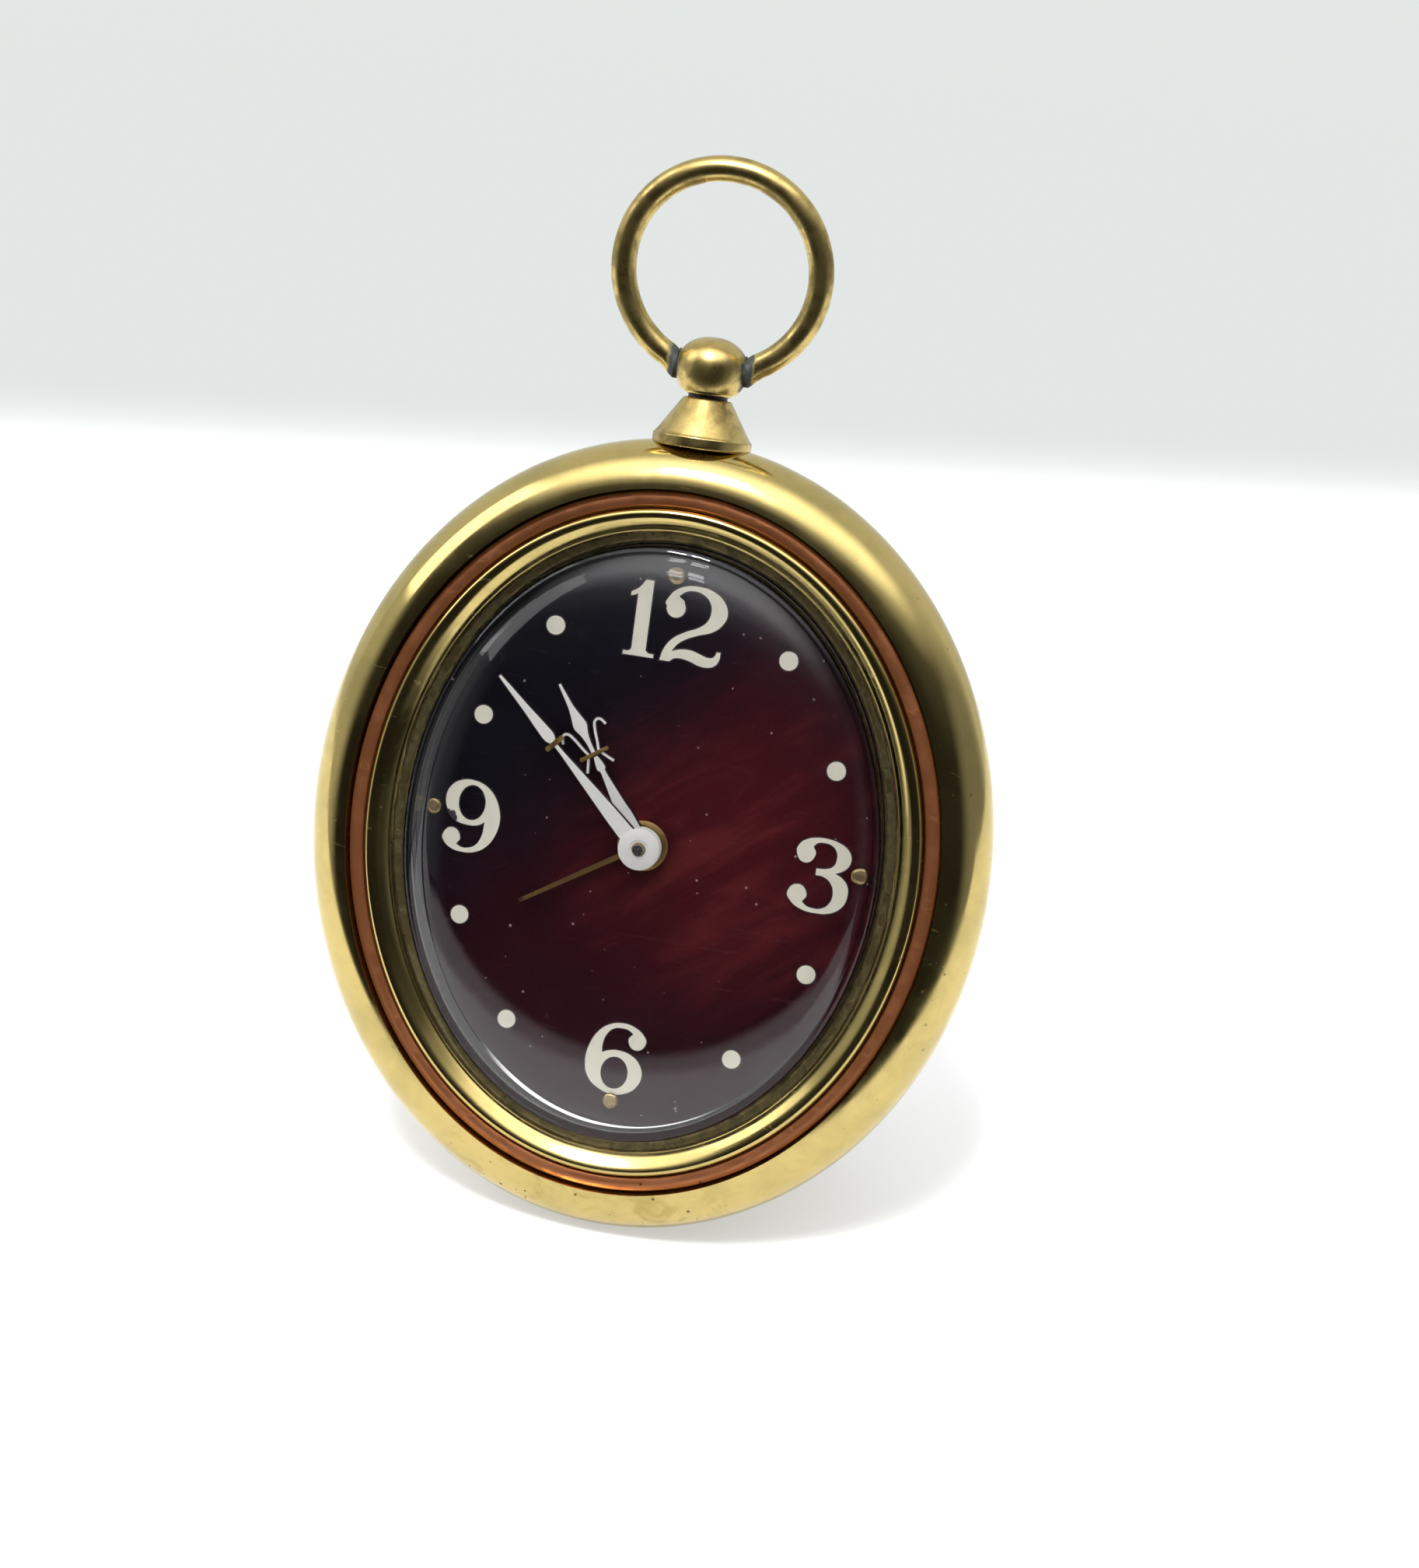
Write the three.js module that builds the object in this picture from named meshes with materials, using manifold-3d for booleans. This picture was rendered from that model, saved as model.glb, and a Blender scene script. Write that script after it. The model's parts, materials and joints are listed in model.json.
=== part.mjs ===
// Oval travel clock that leans back on an easel leg, with a bow ring on top.
// Millimetres and degrees. Everything is laid out in the dial's own frame, x to the right, y up the
// dial and z out of the dial face, which is z = 0. The last lines lean it back on the table.

import * as THREE from 'three';
import { mergeVertices } from 'three/addons/utils/BufferGeometryUtils.js';
import Module from 'manifold-3d';

const wasm = await Module();
wasm.setup();

const rad = (degrees) => degrees * Math.PI / 180;
const deg = (radians) => radians * 180 / Math.PI;

// Whole clock
const LEAN = 12;
const GAP = 0.3;
const OVAL_RISE = 5.7;
const OVAL_STEPS = 32;

// Bezel, outwards from the window: a thin lip, a bead, the inlay's groove and a fat half-round roll
const LIP_OPENING = 24.3;
const LIP_TOP = 2.3;
const LIP_THICK = 0.3;
const BEZEL_BORE = LIP_OPENING + 1.2;
const BEAD_FOOT = LIP_OPENING + 1.7;
const BEAD_TOP = 4.3;
const INLAY_INNER = LIP_OPENING + 4;
const INLAY_WIDTH = 1.3;
const INLAY_TOP = 3.8;
const INLAY_THICK = 0.5;
const ROLL_CENTRE = INLAY_INNER + INLAY_WIDTH - 0.1;
const ROLL_RADIUS = 5.2;
const ROLL_Z = -0.8;
const PLATE_LEDGE_Z = -3.7;

// Ovals inside the bead are a little slimmer than those outside it
const SLIM_FROM = LIP_OPENING + 3.7;
const SLIM_SPAN = 3.8;
const SLIM_RATE = 0.13;

// Crystal and the ring that holds it
const CRYSTAL_WALL = 1.15;
const CRYSTAL_DOME = 2.53;
const CRYSTAL_EDGE = 2.8;
const FLANGE_THICK = 0.5;
const RETAINER_INNER = LIP_OPENING - 0.2;

// Dial
const DIAL_THICK = 0.5;
const STUD_HEAD = 0.82;
const STUD_SHANK = 0.4;
const STUD_HEAD_THICK = 0.35;
const STUD_PLACES = [
  ['12', -0.3, LIP_OPENING + 2.85], ['3', LIP_OPENING - 2.4, 0.45],
  ['6', 0.1, -LIP_OPENING - 2.75], ['9', 2.2 - LIP_OPENING, 0.4],
];

// Drum behind the bezel, and the back cover
const DRUM_OUTER = ROLL_CENTRE + 0.9;
const DRUM_WALL = 1.2;
const DRUM_DEPTH = 13.7;
const DRUM_FLANGE = DRUM_OUTER - 3.4;
const DRUM_LIP = DRUM_OUTER - 4;
const COVER_RADIUS = DRUM_OUTER - DRUM_WALL;
const COVER_THICK = 1.0;
const SCREW_CIRCLE = COVER_RADIUS - 1.2;
const SCREW_ANGLES = [52, 128, 232, 308];
const SCREW_HEAD = 1.5;
const SCREW_HEAD_THICK = 0.7;
const SCREW_SHANK = 0.7;
const SCREW_SLOT = 0.4;

// Pendant and bow, on an upright axis at x = 0
const PENDANT_Z = -1.5;
const BEZEL_TOP_Y = ROLL_CENTRE + OVAL_RISE + ROLL_RADIUS;
const COLLAR_FOOT_Y = BEZEL_TOP_Y - 0.7;
const COLLAR_TOP_Y = COLLAR_FOOT_Y + 4.85;
const COLLAR_BASE = 4.9;
const COLLAR_RIM = 1.2;
const COLLAR_NECK = 2.35;
const STEM_RADIUS = 1.6;
const STEM_Y = COLLAR_FOOT_Y - 2.5;
const NECK_RADIUS = 1.1;
const NECK_DEPTH = 1.6;
const BALL_RADIUS = 3.2;
const BALL_CROWN = 2.85;
const BALL_SKIRT = 3.85;
const BALL_FOOT_ANGLE = 45.6;
const BALL_Y = COLLAR_TOP_Y + GAP + BALL_SKIRT * Math.sin(rad(BALL_FOOT_ANGLE));
const BOW_RADIUS = 9.67;
const BOW_RISE = 9.25;
const BOW_WIRE = 1.225;
const BOW_PIN = 0.8;
const BOW_PIN_DEPTH = 1.5;
const BOW_LEAN = 10.8;
const BOW_STEPS = 24;

// Easel leg
const HINGE_RISE = 30.4;
const HINGE_Y = HINGE_RISE - BEZEL_TOP_Y;
const HINGE_STANDOFF = 3.1;
const LEG_LENGTH = 27;
const LEG_THICK = 1.2;
const LEG_FOOT_WIDTH = 31;
const LEG_HEAD_WIDTH = 20;
const LEG_NECK = 4;
const LEG_FOOT_RISE = 9;
const FOOT_TAB = 5;
const HINGE_PIN = 0.75;
const KNUCKLE = 1.75;
const EAR_THICK = 1.2;
const EAR_RADIUS = 1.9;
const BRACKET_HALF = 3;
const BRACKET_THICK = 0.7;

// Hands and their tubes on the dial centre
const HAND_THICK = 0.25;
const RUNNING_GAP = 0.15;
const PIN_RADIUS = 0.5;
const MINUTE_HAND_Z = 2.85;
const HOUR_HAND_Z = 1.9;
const ALARM_HAND_Z = 0.95;
const MINUTE_LENGTH = 21.95;
const HOUR_LENGTH = 18.1;
const ALARM_LENGTH = 13.5;
const MINUTE_BAR = 13.4;
const HOUR_BAR = 10.4;
const HUB_RADIUS = 2.1;
const ALARM_HUB = 2.55;
const HUB_GAP = 0.1;
const MINUTE_BEARING = 313;
const HOUR_BEARING = 325.6;
const ALARM_BEARING = 237;

// Movement: two plates on pillars, with plain arbors between them
const PLATE_THICK = 1.2;
const PLATE_SPACE = 9.3;
const REAR_PLATE_RADIUS = 24;
const PILLAR_RADIUS = 1.3;
const PILLAR_SCREW = 0.6;
const PILLARS = [[-17.5, 17.5], [17.5, 17.5], [-16.5, -16], [8, -21.5]];
const ARBOR = 0.45;
const CENTRE_ARBOR = 0.7;
const SET_ARBOR = 0.7;
const KEY_ARBOR = 0.9;
const STOP_SHAFT = 0.9;
const WHEEL_THICK = 0.4;

// Tooth counts: 480 turns of the escape wheel for one of the centre, 15 teeth on it
const BARREL_TEETH = 36;
const CENTRE_LEAVES = 6;
const BARREL_MODULE = 0.6;
const CENTRE_TEETH = 48;
const THIRD_TEETH = 45;
const FOURTH_TEETH = 48;
const PINION_LEAVES = 6;
const TRAIN_MODULE = 0.36;
const FOURTH_MODULE = 0.293;
const ESCAPE_TEETH = 15;
const ESCAPE_RADIUS = 4.2;
const CANNON_LEAVES = 8;
const MINUTE_TEETH = 24;
const MINUTE_LEAVES = 6;
const HOUR_TEETH = 24;
const DIAL_MODULE = 0.43;
const HOUR_MODULE = DIAL_MODULE * (MINUTE_TEETH + CANNON_LEAVES) / (HOUR_TEETH + MINUTE_LEAVES);
const ALARM_TEETH = 24;
const ALARM_LEAVES = 6;
const ALARM_MODULE = 0.68;
const BELL_BARREL_TEETH = 30;
const BELL_LEAVES = 6;
const BELL_MODULE = 0.6;
const BELL_TEETH = 12;
const BELL_RADIUS = 3.6;

// Directions from arbor to arbor
const BARREL_DIR = 150;
const THIRD_DIR = 240;
const FOURTH_DIR = 290;
const ESCAPE_DIR = 10;
const PALLET_DIR = 25;
const BALANCE_DIR = 20;
const MINUTE_DIR = 210;
const SET_DIR = 81.5;
const BELL_DIR = 100;
const HAMMER_DIR = 160;
const PALLET_REACH = 5.6;
const BALANCE_REACH = 5.9;
const HAMMER_REACH = 5.4;

// Levels of the wheels
const BARREL_Z = -10.5;
const CENTRE_WHEEL_Z = -12.8;
const THIRD_WHEEL_Z = -11.5;
const FOURTH_WHEEL_Z = -8.5;
const ESCAPE_WHEEL_Z = -6.8;
const CANNON_Z = -3.6;
const HOUR_WHEEL_Z = -2.7;
const ALARM_WHEEL_Z = -1.6;
const BELL_WHEEL_Z = -13.2;
const BALANCE_Z = -13.6;

// Barrels and their springs
const BARREL_HEIGHT = 4.6;
const BARREL_SHELL = 0.6;
const BARREL_INSET = 0.9;
const SPRING_TURNS = 3;
const SPRING_THICK = 0.4;

// Balance, its cock and the regulator
const BALANCE_RADIUS = 4.9;
const BALANCE_HOLE = 5.4;
const BALANCE_RIM = 0.6;
const COCK_DIR = 150;
const COCK_THICK = 1;
const COCK_HEAD = 1.9;
const COCK_ARM = 2.6;
const REGULATOR_DIR = 15;
const REGULATOR_SWING = 15;
const REGULATOR_ARM = 5.2;
const REGULATOR_PIN = 0.45;
const REGULATOR_THICK = 0.5;

// Controls on the back: two knobs, two winding keys with folding wings, and a stop button
const HAND_KNOB_RADIUS = 3.2;
const HAND_KNOB_DEPTH = 2.8;
const HAND_KNOB_FLUTES = 16;
const SET_KNOB_RADIUS = 2.6;
const SET_KNOB_DEPTH = 2.2;
const SET_KNOB_FLUTES = 14;
const FLUTE_DEPTH = 0.35;
const KNOB_FACE = 0.6;
const KEY_HUB = 2.3;
const KEY_HUB_DEPTH = 2.2;
const EAR_OFFSET = 1.3;
const EAR_WIDTH = 0.8;
const WING_PIN = 0.45;
const WING_THICK = 0.9;
const WING_RADIUS = 4.4;
const WING_HOLE = 2.2;
const BELL_KEY_AT = [11.4, 6.6];
const STOP_AT = [0, 23];
const STOP_TRAVEL = 1.6;
const STOP_HEAD = 2.1;
const STOP_HEAD_DEPTH = 1.6;

// Colours and finishes: [colour, roughness, metalness]
const BRASS = [0xb0924a, 0.3, 1];
const OLD_BRASS = [0x8f7a45, 0.45, 1];
const COPPERY = [0x85502c, 0.5, 0.8];
const CLEAR = [0xdfe4e6, 0.05, 0];
const BURGUNDY = [0x3c1216, 0.35, 0];
const CREAM = [0xeceadb, 0.5, 0];
const STEEL = [0x9fa3a6, 0.3, 1];
const NICKEL = [0xb9b9b4, 0.3, 1];
const PLATE_BRASS = [0xb99b55, 0.4, 1];

// Solids and meshes

function signedVolume(points, index) {
  let sum = 0;
  const [a, b, c] = [new THREE.Vector3(), new THREE.Vector3(), new THREE.Vector3()];
  for (let i = 0; i < index.length; i += 3) {
    a.fromArray(points, index[i] * 3);
    b.fromArray(points, index[i + 1] * 3);
    c.fromArray(points, index[i + 2] * 3);
    sum += a.dot(b.cross(c));
  }
  return sum / 6;
}

// Shared corners, no empty triangles, and faces that point out
function closed(geometry) {
  geometry.deleteAttribute('normal');
  geometry.deleteAttribute('uv');
  const merged = mergeVertices(geometry, 1e-5);
  const points = merged.attributes.position.array;
  const source = merged.index.array;
  const index = [];
  for (let i = 0; i < source.length; i += 3) {
    const [a, b, c] = [source[i], source[i + 1], source[i + 2]];
    if (a !== b && b !== c && a !== c) index.push(a, b, c);
  }
  if (signedVolume(points, index) < 0) {
    for (let i = 0; i < index.length; i += 3) [index[i], index[i + 1]] = [index[i + 1], index[i]];
  }
  merged.setIndex(index);
  merged.clearGroups();
  return merged;
}

function solid(geometry) {
  const shape = closed(geometry);
  return new wasm.Manifold(new wasm.Mesh({
    numProp: 3,
    vertProperties: new Float32Array(shape.attributes.position.array),
    triVerts: new Uint32Array(shape.index.array),
  }));
}

function skin(body) {
  const mesh = body.getMesh();
  const geometry = new THREE.BufferGeometry();
  geometry.setAttribute('position', new THREE.BufferAttribute(mesh.vertProperties, 3));
  geometry.setIndex(new THREE.BufferAttribute(mesh.triVerts, 1));
  return geometry;
}

// The first geometry joined to some others, and then cut by the rest
function carve(base, { add = [], cut = [] }) {
  let body = solid(base);
  for (const one of add) body = body.add(solid(one));
  for (const one of cut) body = body.subtract(solid(one));
  return skin(body);
}

function finish([color, roughness, metalness]) {
  return new THREE.MeshStandardMaterial({ color, roughness, metalness });
}

function piece(name, geometry, look, place = [0, 0, 0], turn = 0) {
  const mesh = new THREE.Mesh(closed(geometry), finish(look));
  mesh.name = name;
  mesh.position.set(...place);
  mesh.rotation.z = turn;
  return mesh;
}

// Quads between rings of points; each ring has the same count
function loftRings(rings, { ringClosed, capped }) {
  const count = rings[0].length;
  const points = rings.flat();
  const index = [];
  const last = ringClosed ? rings.length : rings.length - 1;
  for (let i = 0; i < last; i++) {
    const next = (i + 1) % rings.length;
    for (let j = 0; j < count; j++) {
      const k = (j + 1) % count;
      const [a, b, c, d] = [i * count + j, i * count + k, next * count + k, next * count + j];
      index.push(a, b, c, a, c, d);
    }
  }
  if (capped) {
    for (const [start, flip] of [[0, true], [(rings.length - 1) * count, false]]) {
      const centre = points.length;
      const middle = new THREE.Vector3();
      for (let j = 0; j < count; j++) middle.add(points[start + j]);
      points.push(middle.divideScalar(count));
      for (let j = 0; j < count; j++) {
        const [a, b] = [start + j, start + (j + 1) % count];
        if (flip) index.push(b, a, centre);
        else index.push(a, b, centre);
      }
    }
  }
  const geometry = new THREE.BufferGeometry();
  const flat = points.flatMap((p) => [p.x, p.y, p.z]);
  geometry.setAttribute('position', new THREE.Float32BufferAttribute(flat, 3));
  geometry.setIndex(index);
  return geometry;
}

// A point on the oval of half-width r; small ovals stay a little slimmer than large ones
function ovalPoint(r, angle, z = 0) {
  const slimming = SLIM_RATE * Math.min(Math.max(SLIM_FROM - r, 0), SLIM_SPAN);
  return new THREE.Vector3(r * Math.cos(angle), (r + OVAL_RISE + slimming) * Math.sin(angle), z);
}

// A profile of [half-width, z] carried round the oval
function ovalSweep(profile, ring = true) {
  const rings = profile.map(([r, z]) => {
    const points = [];
    for (let j = 0; j < OVAL_STEPS; j++) points.push(ovalPoint(r, 2 * Math.PI * j / OVAL_STEPS, z));
    return points;
  });
  return loftRings(rings, { ringClosed: ring, capped: !ring });
}

function ovalPlate(r, z0, z1) {
  return ovalSweep([[r, z0], [r, z1]], false);
}

// A profile of [radius, height] turned about Z, at x and y
function turned(profile, steps = 16, x = 0, y = 0) {
  const geometry = new THREE.LatheGeometry(profile.map(([r, h]) => new THREE.Vector2(r, h)), steps);
  return geometry.rotateX(Math.PI / 2).translate(x, y, 0);
}

function rod(radius, z0, z1, x = 0, y = 0, steps = 10) {
  return turned([[0, z0], [radius, z0], [radius, z1], [0, z1]], steps, x, y);
}

function washer(outer, inner, z0, z1, steps = 16) {
  return turned([[inner, z0], [outer, z0], [outer, z1], [inner, z1], [inner, z0]], steps);
}

function block(x0, x1, y0, y1, z0, z1) {
  const geometry = new THREE.BoxGeometry(x1 - x0, y1 - y0, z1 - z0);
  return geometry.translate((x0 + x1) / 2, (y0 + y1) / 2, (z0 + z1) / 2);
}

function shapeOf(points) {
  return new THREE.Shape(points.map(([x, y]) => new THREE.Vector2(x, y)));
}

function slab(shape, z0, z1, curveSegments = 8) {
  const depth = z1 - z0;
  const geometry = new THREE.ExtrudeGeometry(shape, { depth, bevelEnabled: false, curveSegments });
  return geometry.translate(0, 0, z0);
}

function arc(cx, cy, radius, from, to, steps) {
  const points = [];
  for (let i = 0; i <= steps; i++) {
    const a = rad(from + (to - from) * i / steps);
    points.push([cx + radius * Math.cos(a), cy + radius * Math.sin(a)]);
  }
  return points;
}

// Levels and widths that several pieces share
const ROLL_REAR = ROLL_Z - ROLL_RADIUS;
const LIP_UNDER = LIP_TOP - LIP_THICK;
const FLANGE_TOP = LIP_UNDER - GAP;
const FLANGE_UNDER = FLANGE_TOP - FLANGE_THICK;
const DRUM_FRONT = ROLL_REAR - GAP;
const DRUM_REAR = DRUM_FRONT - DRUM_DEPTH;
const COVER_FRONT = DRUM_REAR - GAP;
const COVER_REAR = COVER_FRONT - COVER_THICK;
const PLATE_EDGE = BEZEL_BORE + 1;
const CONTROL_FRONT = COVER_REAR - GAP;
const HINGE_Z = COVER_REAR - HINGE_STANDOFF;
const PLATE_TOP = PLATE_LEDGE_Z - GAP;
const PLATE_REAR = PLATE_TOP - PLATE_THICK;
const REAR_PLATE_TOP = PLATE_REAR - PLATE_SPACE;
const REAR_PLATE_REAR = REAR_PLATE_TOP - PLATE_THICK;
const COCK_FRONT = REAR_PLATE_REAR - GAP;
const COCK_REAR = COCK_FRONT - COCK_THICK;
const KEY_REAR = CONTROL_FRONT - KEY_HUB_DEPTH;
const WING_Z = KEY_REAR - 1;

// Table level along the leaned upright, where the roll's lowest point stands
const TABLE = (ROLL_CENTRE + OVAL_RISE) * Math.cos(rad(LEAN))
  - ROLL_Z * Math.sin(rad(LEAN)) + ROLL_RADIUS;

// Case, front to back

function bezelRing() {
  const grooveInner = INLAY_INNER - GAP;
  const grooveOuter = INLAY_INNER + INLAY_WIDTH + GAP;
  const grooveZ = INLAY_TOP - INLAY_THICK - GAP;
  const rollEnd = deg(Math.acos((grooveOuter - ROLL_CENTRE) / ROLL_RADIUS));
  const rear = arc(ROLL_CENTRE, ROLL_Z, ROLL_RADIUS, -90, -LEAN, 2);
  const front = arc(ROLL_CENTRE, ROLL_Z, ROLL_RADIUS, -LEAN, rollEnd, 5).slice(1);
  const bead = [
    [grooveInner, BEAD_TOP - 0.3], [grooveInner - 0.35, BEAD_TOP], [grooveInner - 1, BEAD_TOP - 0.35],
    [BEAD_FOOT, LIP_TOP + 0.3],
  ];
  const profile = [
    ...rear, ...front, [grooveOuter, grooveZ], [grooveInner, grooveZ], ...bead,
    [LIP_OPENING + 0.15, LIP_TOP], [LIP_OPENING, LIP_UNDER],
    [BEZEL_BORE, LIP_UNDER], [BEZEL_BORE, PLATE_LEDGE_Z],
    [PLATE_EDGE + GAP, PLATE_LEDGE_Z], [PLATE_EDGE + GAP, ROLL_REAR],
  ];
  return carve(ovalSweep(profile), { cut: [stem(STEM_RADIUS + GAP, STEM_Y - GAP)] });
}

// A strip a little crowned across
function bezelInlay() {
  const [inner, outer] = [INLAY_INNER, INLAY_INNER + INLAY_WIDTH];
  const [under, top] = [INLAY_TOP - INLAY_THICK, INLAY_TOP];
  return ovalSweep([
    [inner, under], [outer, under], [outer, top - 0.1], [(inner + outer) / 2, top], [inner, top - 0.1],
  ]);
}

function crystal() {
  const wall = LIP_OPENING - GAP;
  const edge = BEZEL_BORE - GAP;
  const top = FLANGE_TOP + CRYSTAL_EDGE;
  const dome = (r) => top + CRYSTAL_DOME * (1 - (r / wall) ** 2);
  const outer = [0.3, 0.58, 0.83].map((share) => [share * wall, dome(share * wall)]);
  const inner = [outer[2], outer[0]].map(([r, z]) => [r * 0.985, z - CRYSTAL_WALL]);
  const profile = [
    ...outer, [wall - 0.4, top - 0.6], [wall, top - 1.4], [wall, FLANGE_TOP],
    [edge, FLANGE_TOP], [edge, FLANGE_UNDER],
    [wall - CRYSTAL_WALL, FLANGE_UNDER], [wall - CRYSTAL_WALL, top - CRYSTAL_WALL - 0.45],
    ...inner,
  ];
  return ovalSweep(profile, false);
}

function crystalRetainer() {
  const outer = BEZEL_BORE - GAP;
  const top = FLANGE_UNDER - GAP;
  return ovalSweep([[RETAINER_INNER, GAP], [outer, GAP], [outer, top], [RETAINER_INNER, top]]);
}

function drum() {
  const inner = DRUM_OUTER - DRUM_WALL;
  return ovalSweep([
    [DRUM_OUTER, DRUM_FRONT], [DRUM_OUTER, DRUM_REAR + 1.6], [DRUM_OUTER - 0.4, DRUM_REAR + 0.5],
    [DRUM_OUTER - 1.3, DRUM_REAR], [DRUM_LIP, DRUM_REAR], [DRUM_LIP, DRUM_REAR + DRUM_WALL],
    [inner, DRUM_REAR + DRUM_WALL], [inner, DRUM_FRONT - DRUM_WALL],
    [DRUM_FLANGE, DRUM_FRONT - DRUM_WALL], [DRUM_FLANGE, DRUM_FRONT],
  ]);
}

function screwPlace(angle) {
  const p = ovalPoint(SCREW_CIRCLE, rad(angle));
  return [p.x, p.y];
}

function caseBody() {
  const shanks = SCREW_ANGLES.map((angle) => [...screwPlace(angle), SCREW_SHANK]);
  return carve(drum(), { cut: holes(shanks, DRUM_REAR, DRUM_REAR + DRUM_WALL) });
}

// A flat-headed screw with a slot, its tip in the drum's rear wall
function backScrew() {
  const head = CONTROL_FRONT;
  const tip = DRUM_REAR + DRUM_WALL;
  const profile = [
    [0, head - SCREW_HEAD_THICK], [SCREW_HEAD - 0.2, head - SCREW_HEAD_THICK], [SCREW_HEAD, head],
    [SCREW_SHANK, head], [SCREW_SHANK, tip], [0, tip],
  ];
  const slotHalf = SCREW_SLOT / 2;
  const slot = block(-SCREW_HEAD - 1, SCREW_HEAD + 1, -slotHalf, slotHalf, head - 1, head - 0.4);
  return carve(turned(profile, 8), { cut: [slot] });
}

// Pendant and bow

function upright(profile, steps) {
  const points = profile.map(([r, y]) => new THREE.Vector2(r, y));
  return new THREE.LatheGeometry(points, steps).translate(0, 0, PENDANT_Z);
}

function stem(radius, bottom) {
  const top = COLLAR_FOOT_Y + 1.5;
  return upright([[0, bottom], [radius, bottom], [radius, top], [0, top]], 12);
}

function neckPin(radius, bottom) {
  const top = BALL_Y - 1.5;
  return upright([[0, bottom], [radius, bottom], [radius, top], [0, top]], 8);
}

// A straight cone with a plain rim, hollowed below to sit on the roll
function pendantCollar() {
  const rim = COLLAR_FOOT_Y + COLLAR_RIM;
  const cone = upright([
    [0, COLLAR_FOOT_Y], [COLLAR_BASE, COLLAR_FOOT_Y], [COLLAR_BASE, rim - 0.2], [COLLAR_BASE - 0.2, rim],
    [COLLAR_NECK, COLLAR_TOP_Y], [0, COLLAR_TOP_Y],
  ], 20);
  const saddle = ovalSweep(arc(ROLL_CENTRE, ROLL_Z, ROLL_RADIUS + GAP, 0, 340, 17));
  const body = solid(cone).subtract(solid(saddle)).add(solid(stem(STEM_RADIUS, STEM_Y)));
  return skin(body.subtract(solid(neckPin(NECK_RADIUS + GAP, COLLAR_TOP_Y - NECK_DEPTH - GAP))));
}

// A squat ball, flatter above its widest level than below it
function pendantBall() {
  const foot = COLLAR_TOP_Y + GAP;
  const outline = arc(0, 0, 1, -BALL_FOOT_ANGLE, 90, 8).slice(0, -1).map(([x, y]) => (
    [x * BALL_RADIUS, BALL_Y + y * (y > 0 ? BALL_CROWN : BALL_SKIRT)]));
  const ball = upright([[0, foot], ...outline, [0, BALL_Y + BALL_CROWN]], 16);
  const bore = rod(BOW_PIN + GAP, -BALL_RADIUS - 1, BALL_RADIUS + 1, 0, 0, 10).rotateY(Math.PI / 2)
    .translate(0, BALL_Y, PENDANT_Z);
  return carve(ball, { add: [neckPin(NECK_RADIUS, COLLAR_TOP_Y - NECK_DEPTH)], cut: [bore] });
}

// A round wire along a flat path in x and y; radii may change along it
function wire(path, radii, sides = 8) {
  const rings = path.map((p, i) => {
    const before = path[Math.max(i - 1, 0)];
    const after = path[Math.min(i + 1, path.length - 1)];
    const along = new THREE.Vector3().subVectors(after, before).normalize();
    const side = new THREE.Vector3(-along.y, along.x, 0);
    const ring = [];
    for (let j = 0; j < sides; j++) {
      const a = 2 * Math.PI * j / sides;
      const point = p.clone().addScaledVector(side, radii[i] * Math.cos(a));
      point.z += radii[i] * Math.sin(a);
      ring.push(point);
    }
    return ring;
  });
  return loftRings(rings, { ringClosed: false, capped: true });
}

// The bow in its own frame: the swing axis is x through the origin, and the ring leans from y towards z
function bowRing() {
  const joinAngle = 28;
  const clear = BALL_RADIUS + GAP;
  const neck = [
    [BALL_RADIUS - BOW_PIN_DEPTH, 0, BOW_PIN], [clear, 0, BOW_PIN],
    [clear + 0.04, 0, BOW_WIRE - 0.12], [clear + 0.45, 0.22, BOW_WIRE],
  ];
  const path = neck.map(([x, y]) => new THREE.Vector3(x, y, 0));
  const radii = neck.map(([, , r]) => r);
  for (let i = 0; i <= BOW_STEPS; i++) {
    const a = rad(joinAngle + (360 - 2 * joinAngle) * i / BOW_STEPS - 90);
    path.push(new THREE.Vector3(BOW_RADIUS * Math.cos(a), BOW_RISE + BOW_RADIUS * Math.sin(a), 0));
    radii.push(BOW_WIRE);
  }
  for (const [x, y, r] of neck.slice().reverse()) {
    path.push(new THREE.Vector3(-x, y, 0));
    radii.push(r);
  }
  return wire(path, radii).rotateX(rad(BOW_LEAN));
}

// Easel leg, in the dial's frame with the leg open and its foot on the table

// Depth behind the dial centre and height above the table, as the dial's y and z
function fromTable(depth, height) {
  const [c, s] = [Math.cos(rad(LEAN)), Math.sin(rad(LEAN))];
  const up = height - TABLE;
  return [up * c + depth * s, up * s - depth * c];
}

function hingeAboveTable() {
  const [c, s] = [Math.cos(rad(LEAN)), Math.sin(rad(LEAN))];
  return { depth: HINGE_Y * s - HINGE_Z * c, height: TABLE + HINGE_Y * c + HINGE_Z * s };
}

// Angle of the open leg from upright
function legSlant() {
  return Math.acos(hingeAboveTable().height / LEG_LENGTH);
}

function legProfile() {
  const { depth, height } = hingeAboveTable();
  const slant = legSlant();
  const half = LEG_THICK / 2;
  const face = (offset, level) => {
    const down = (height + offset * Math.sin(slant) - level) / Math.cos(slant);
    return [depth + offset * Math.cos(slant) + down * Math.sin(slant), level];
  };
  const [heel] = face(half, LEG_THICK);
  return [
    [depth + half * Math.cos(slant), height + half * Math.sin(slant)],
    [heel, LEG_THICK], [heel + FOOT_TAB, LEG_THICK], [heel + FOOT_TAB, 0], face(-half, 0),
    [depth - half * Math.cos(slant), height - half * Math.sin(slant)],
  ].map(([d, h]) => fromTable(d, h));
}

// A shape drawn in y and z, carried across from x0 to x1
function across(shape, x0, x1) {
  const axes = new THREE.Matrix4().makeBasis(
    new THREE.Vector3(0, 1, 0), new THREE.Vector3(0, 0, 1), new THREE.Vector3(1, 0, 0));
  return slab(shape, x0, x1).applyMatrix4(axes);
}

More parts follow.
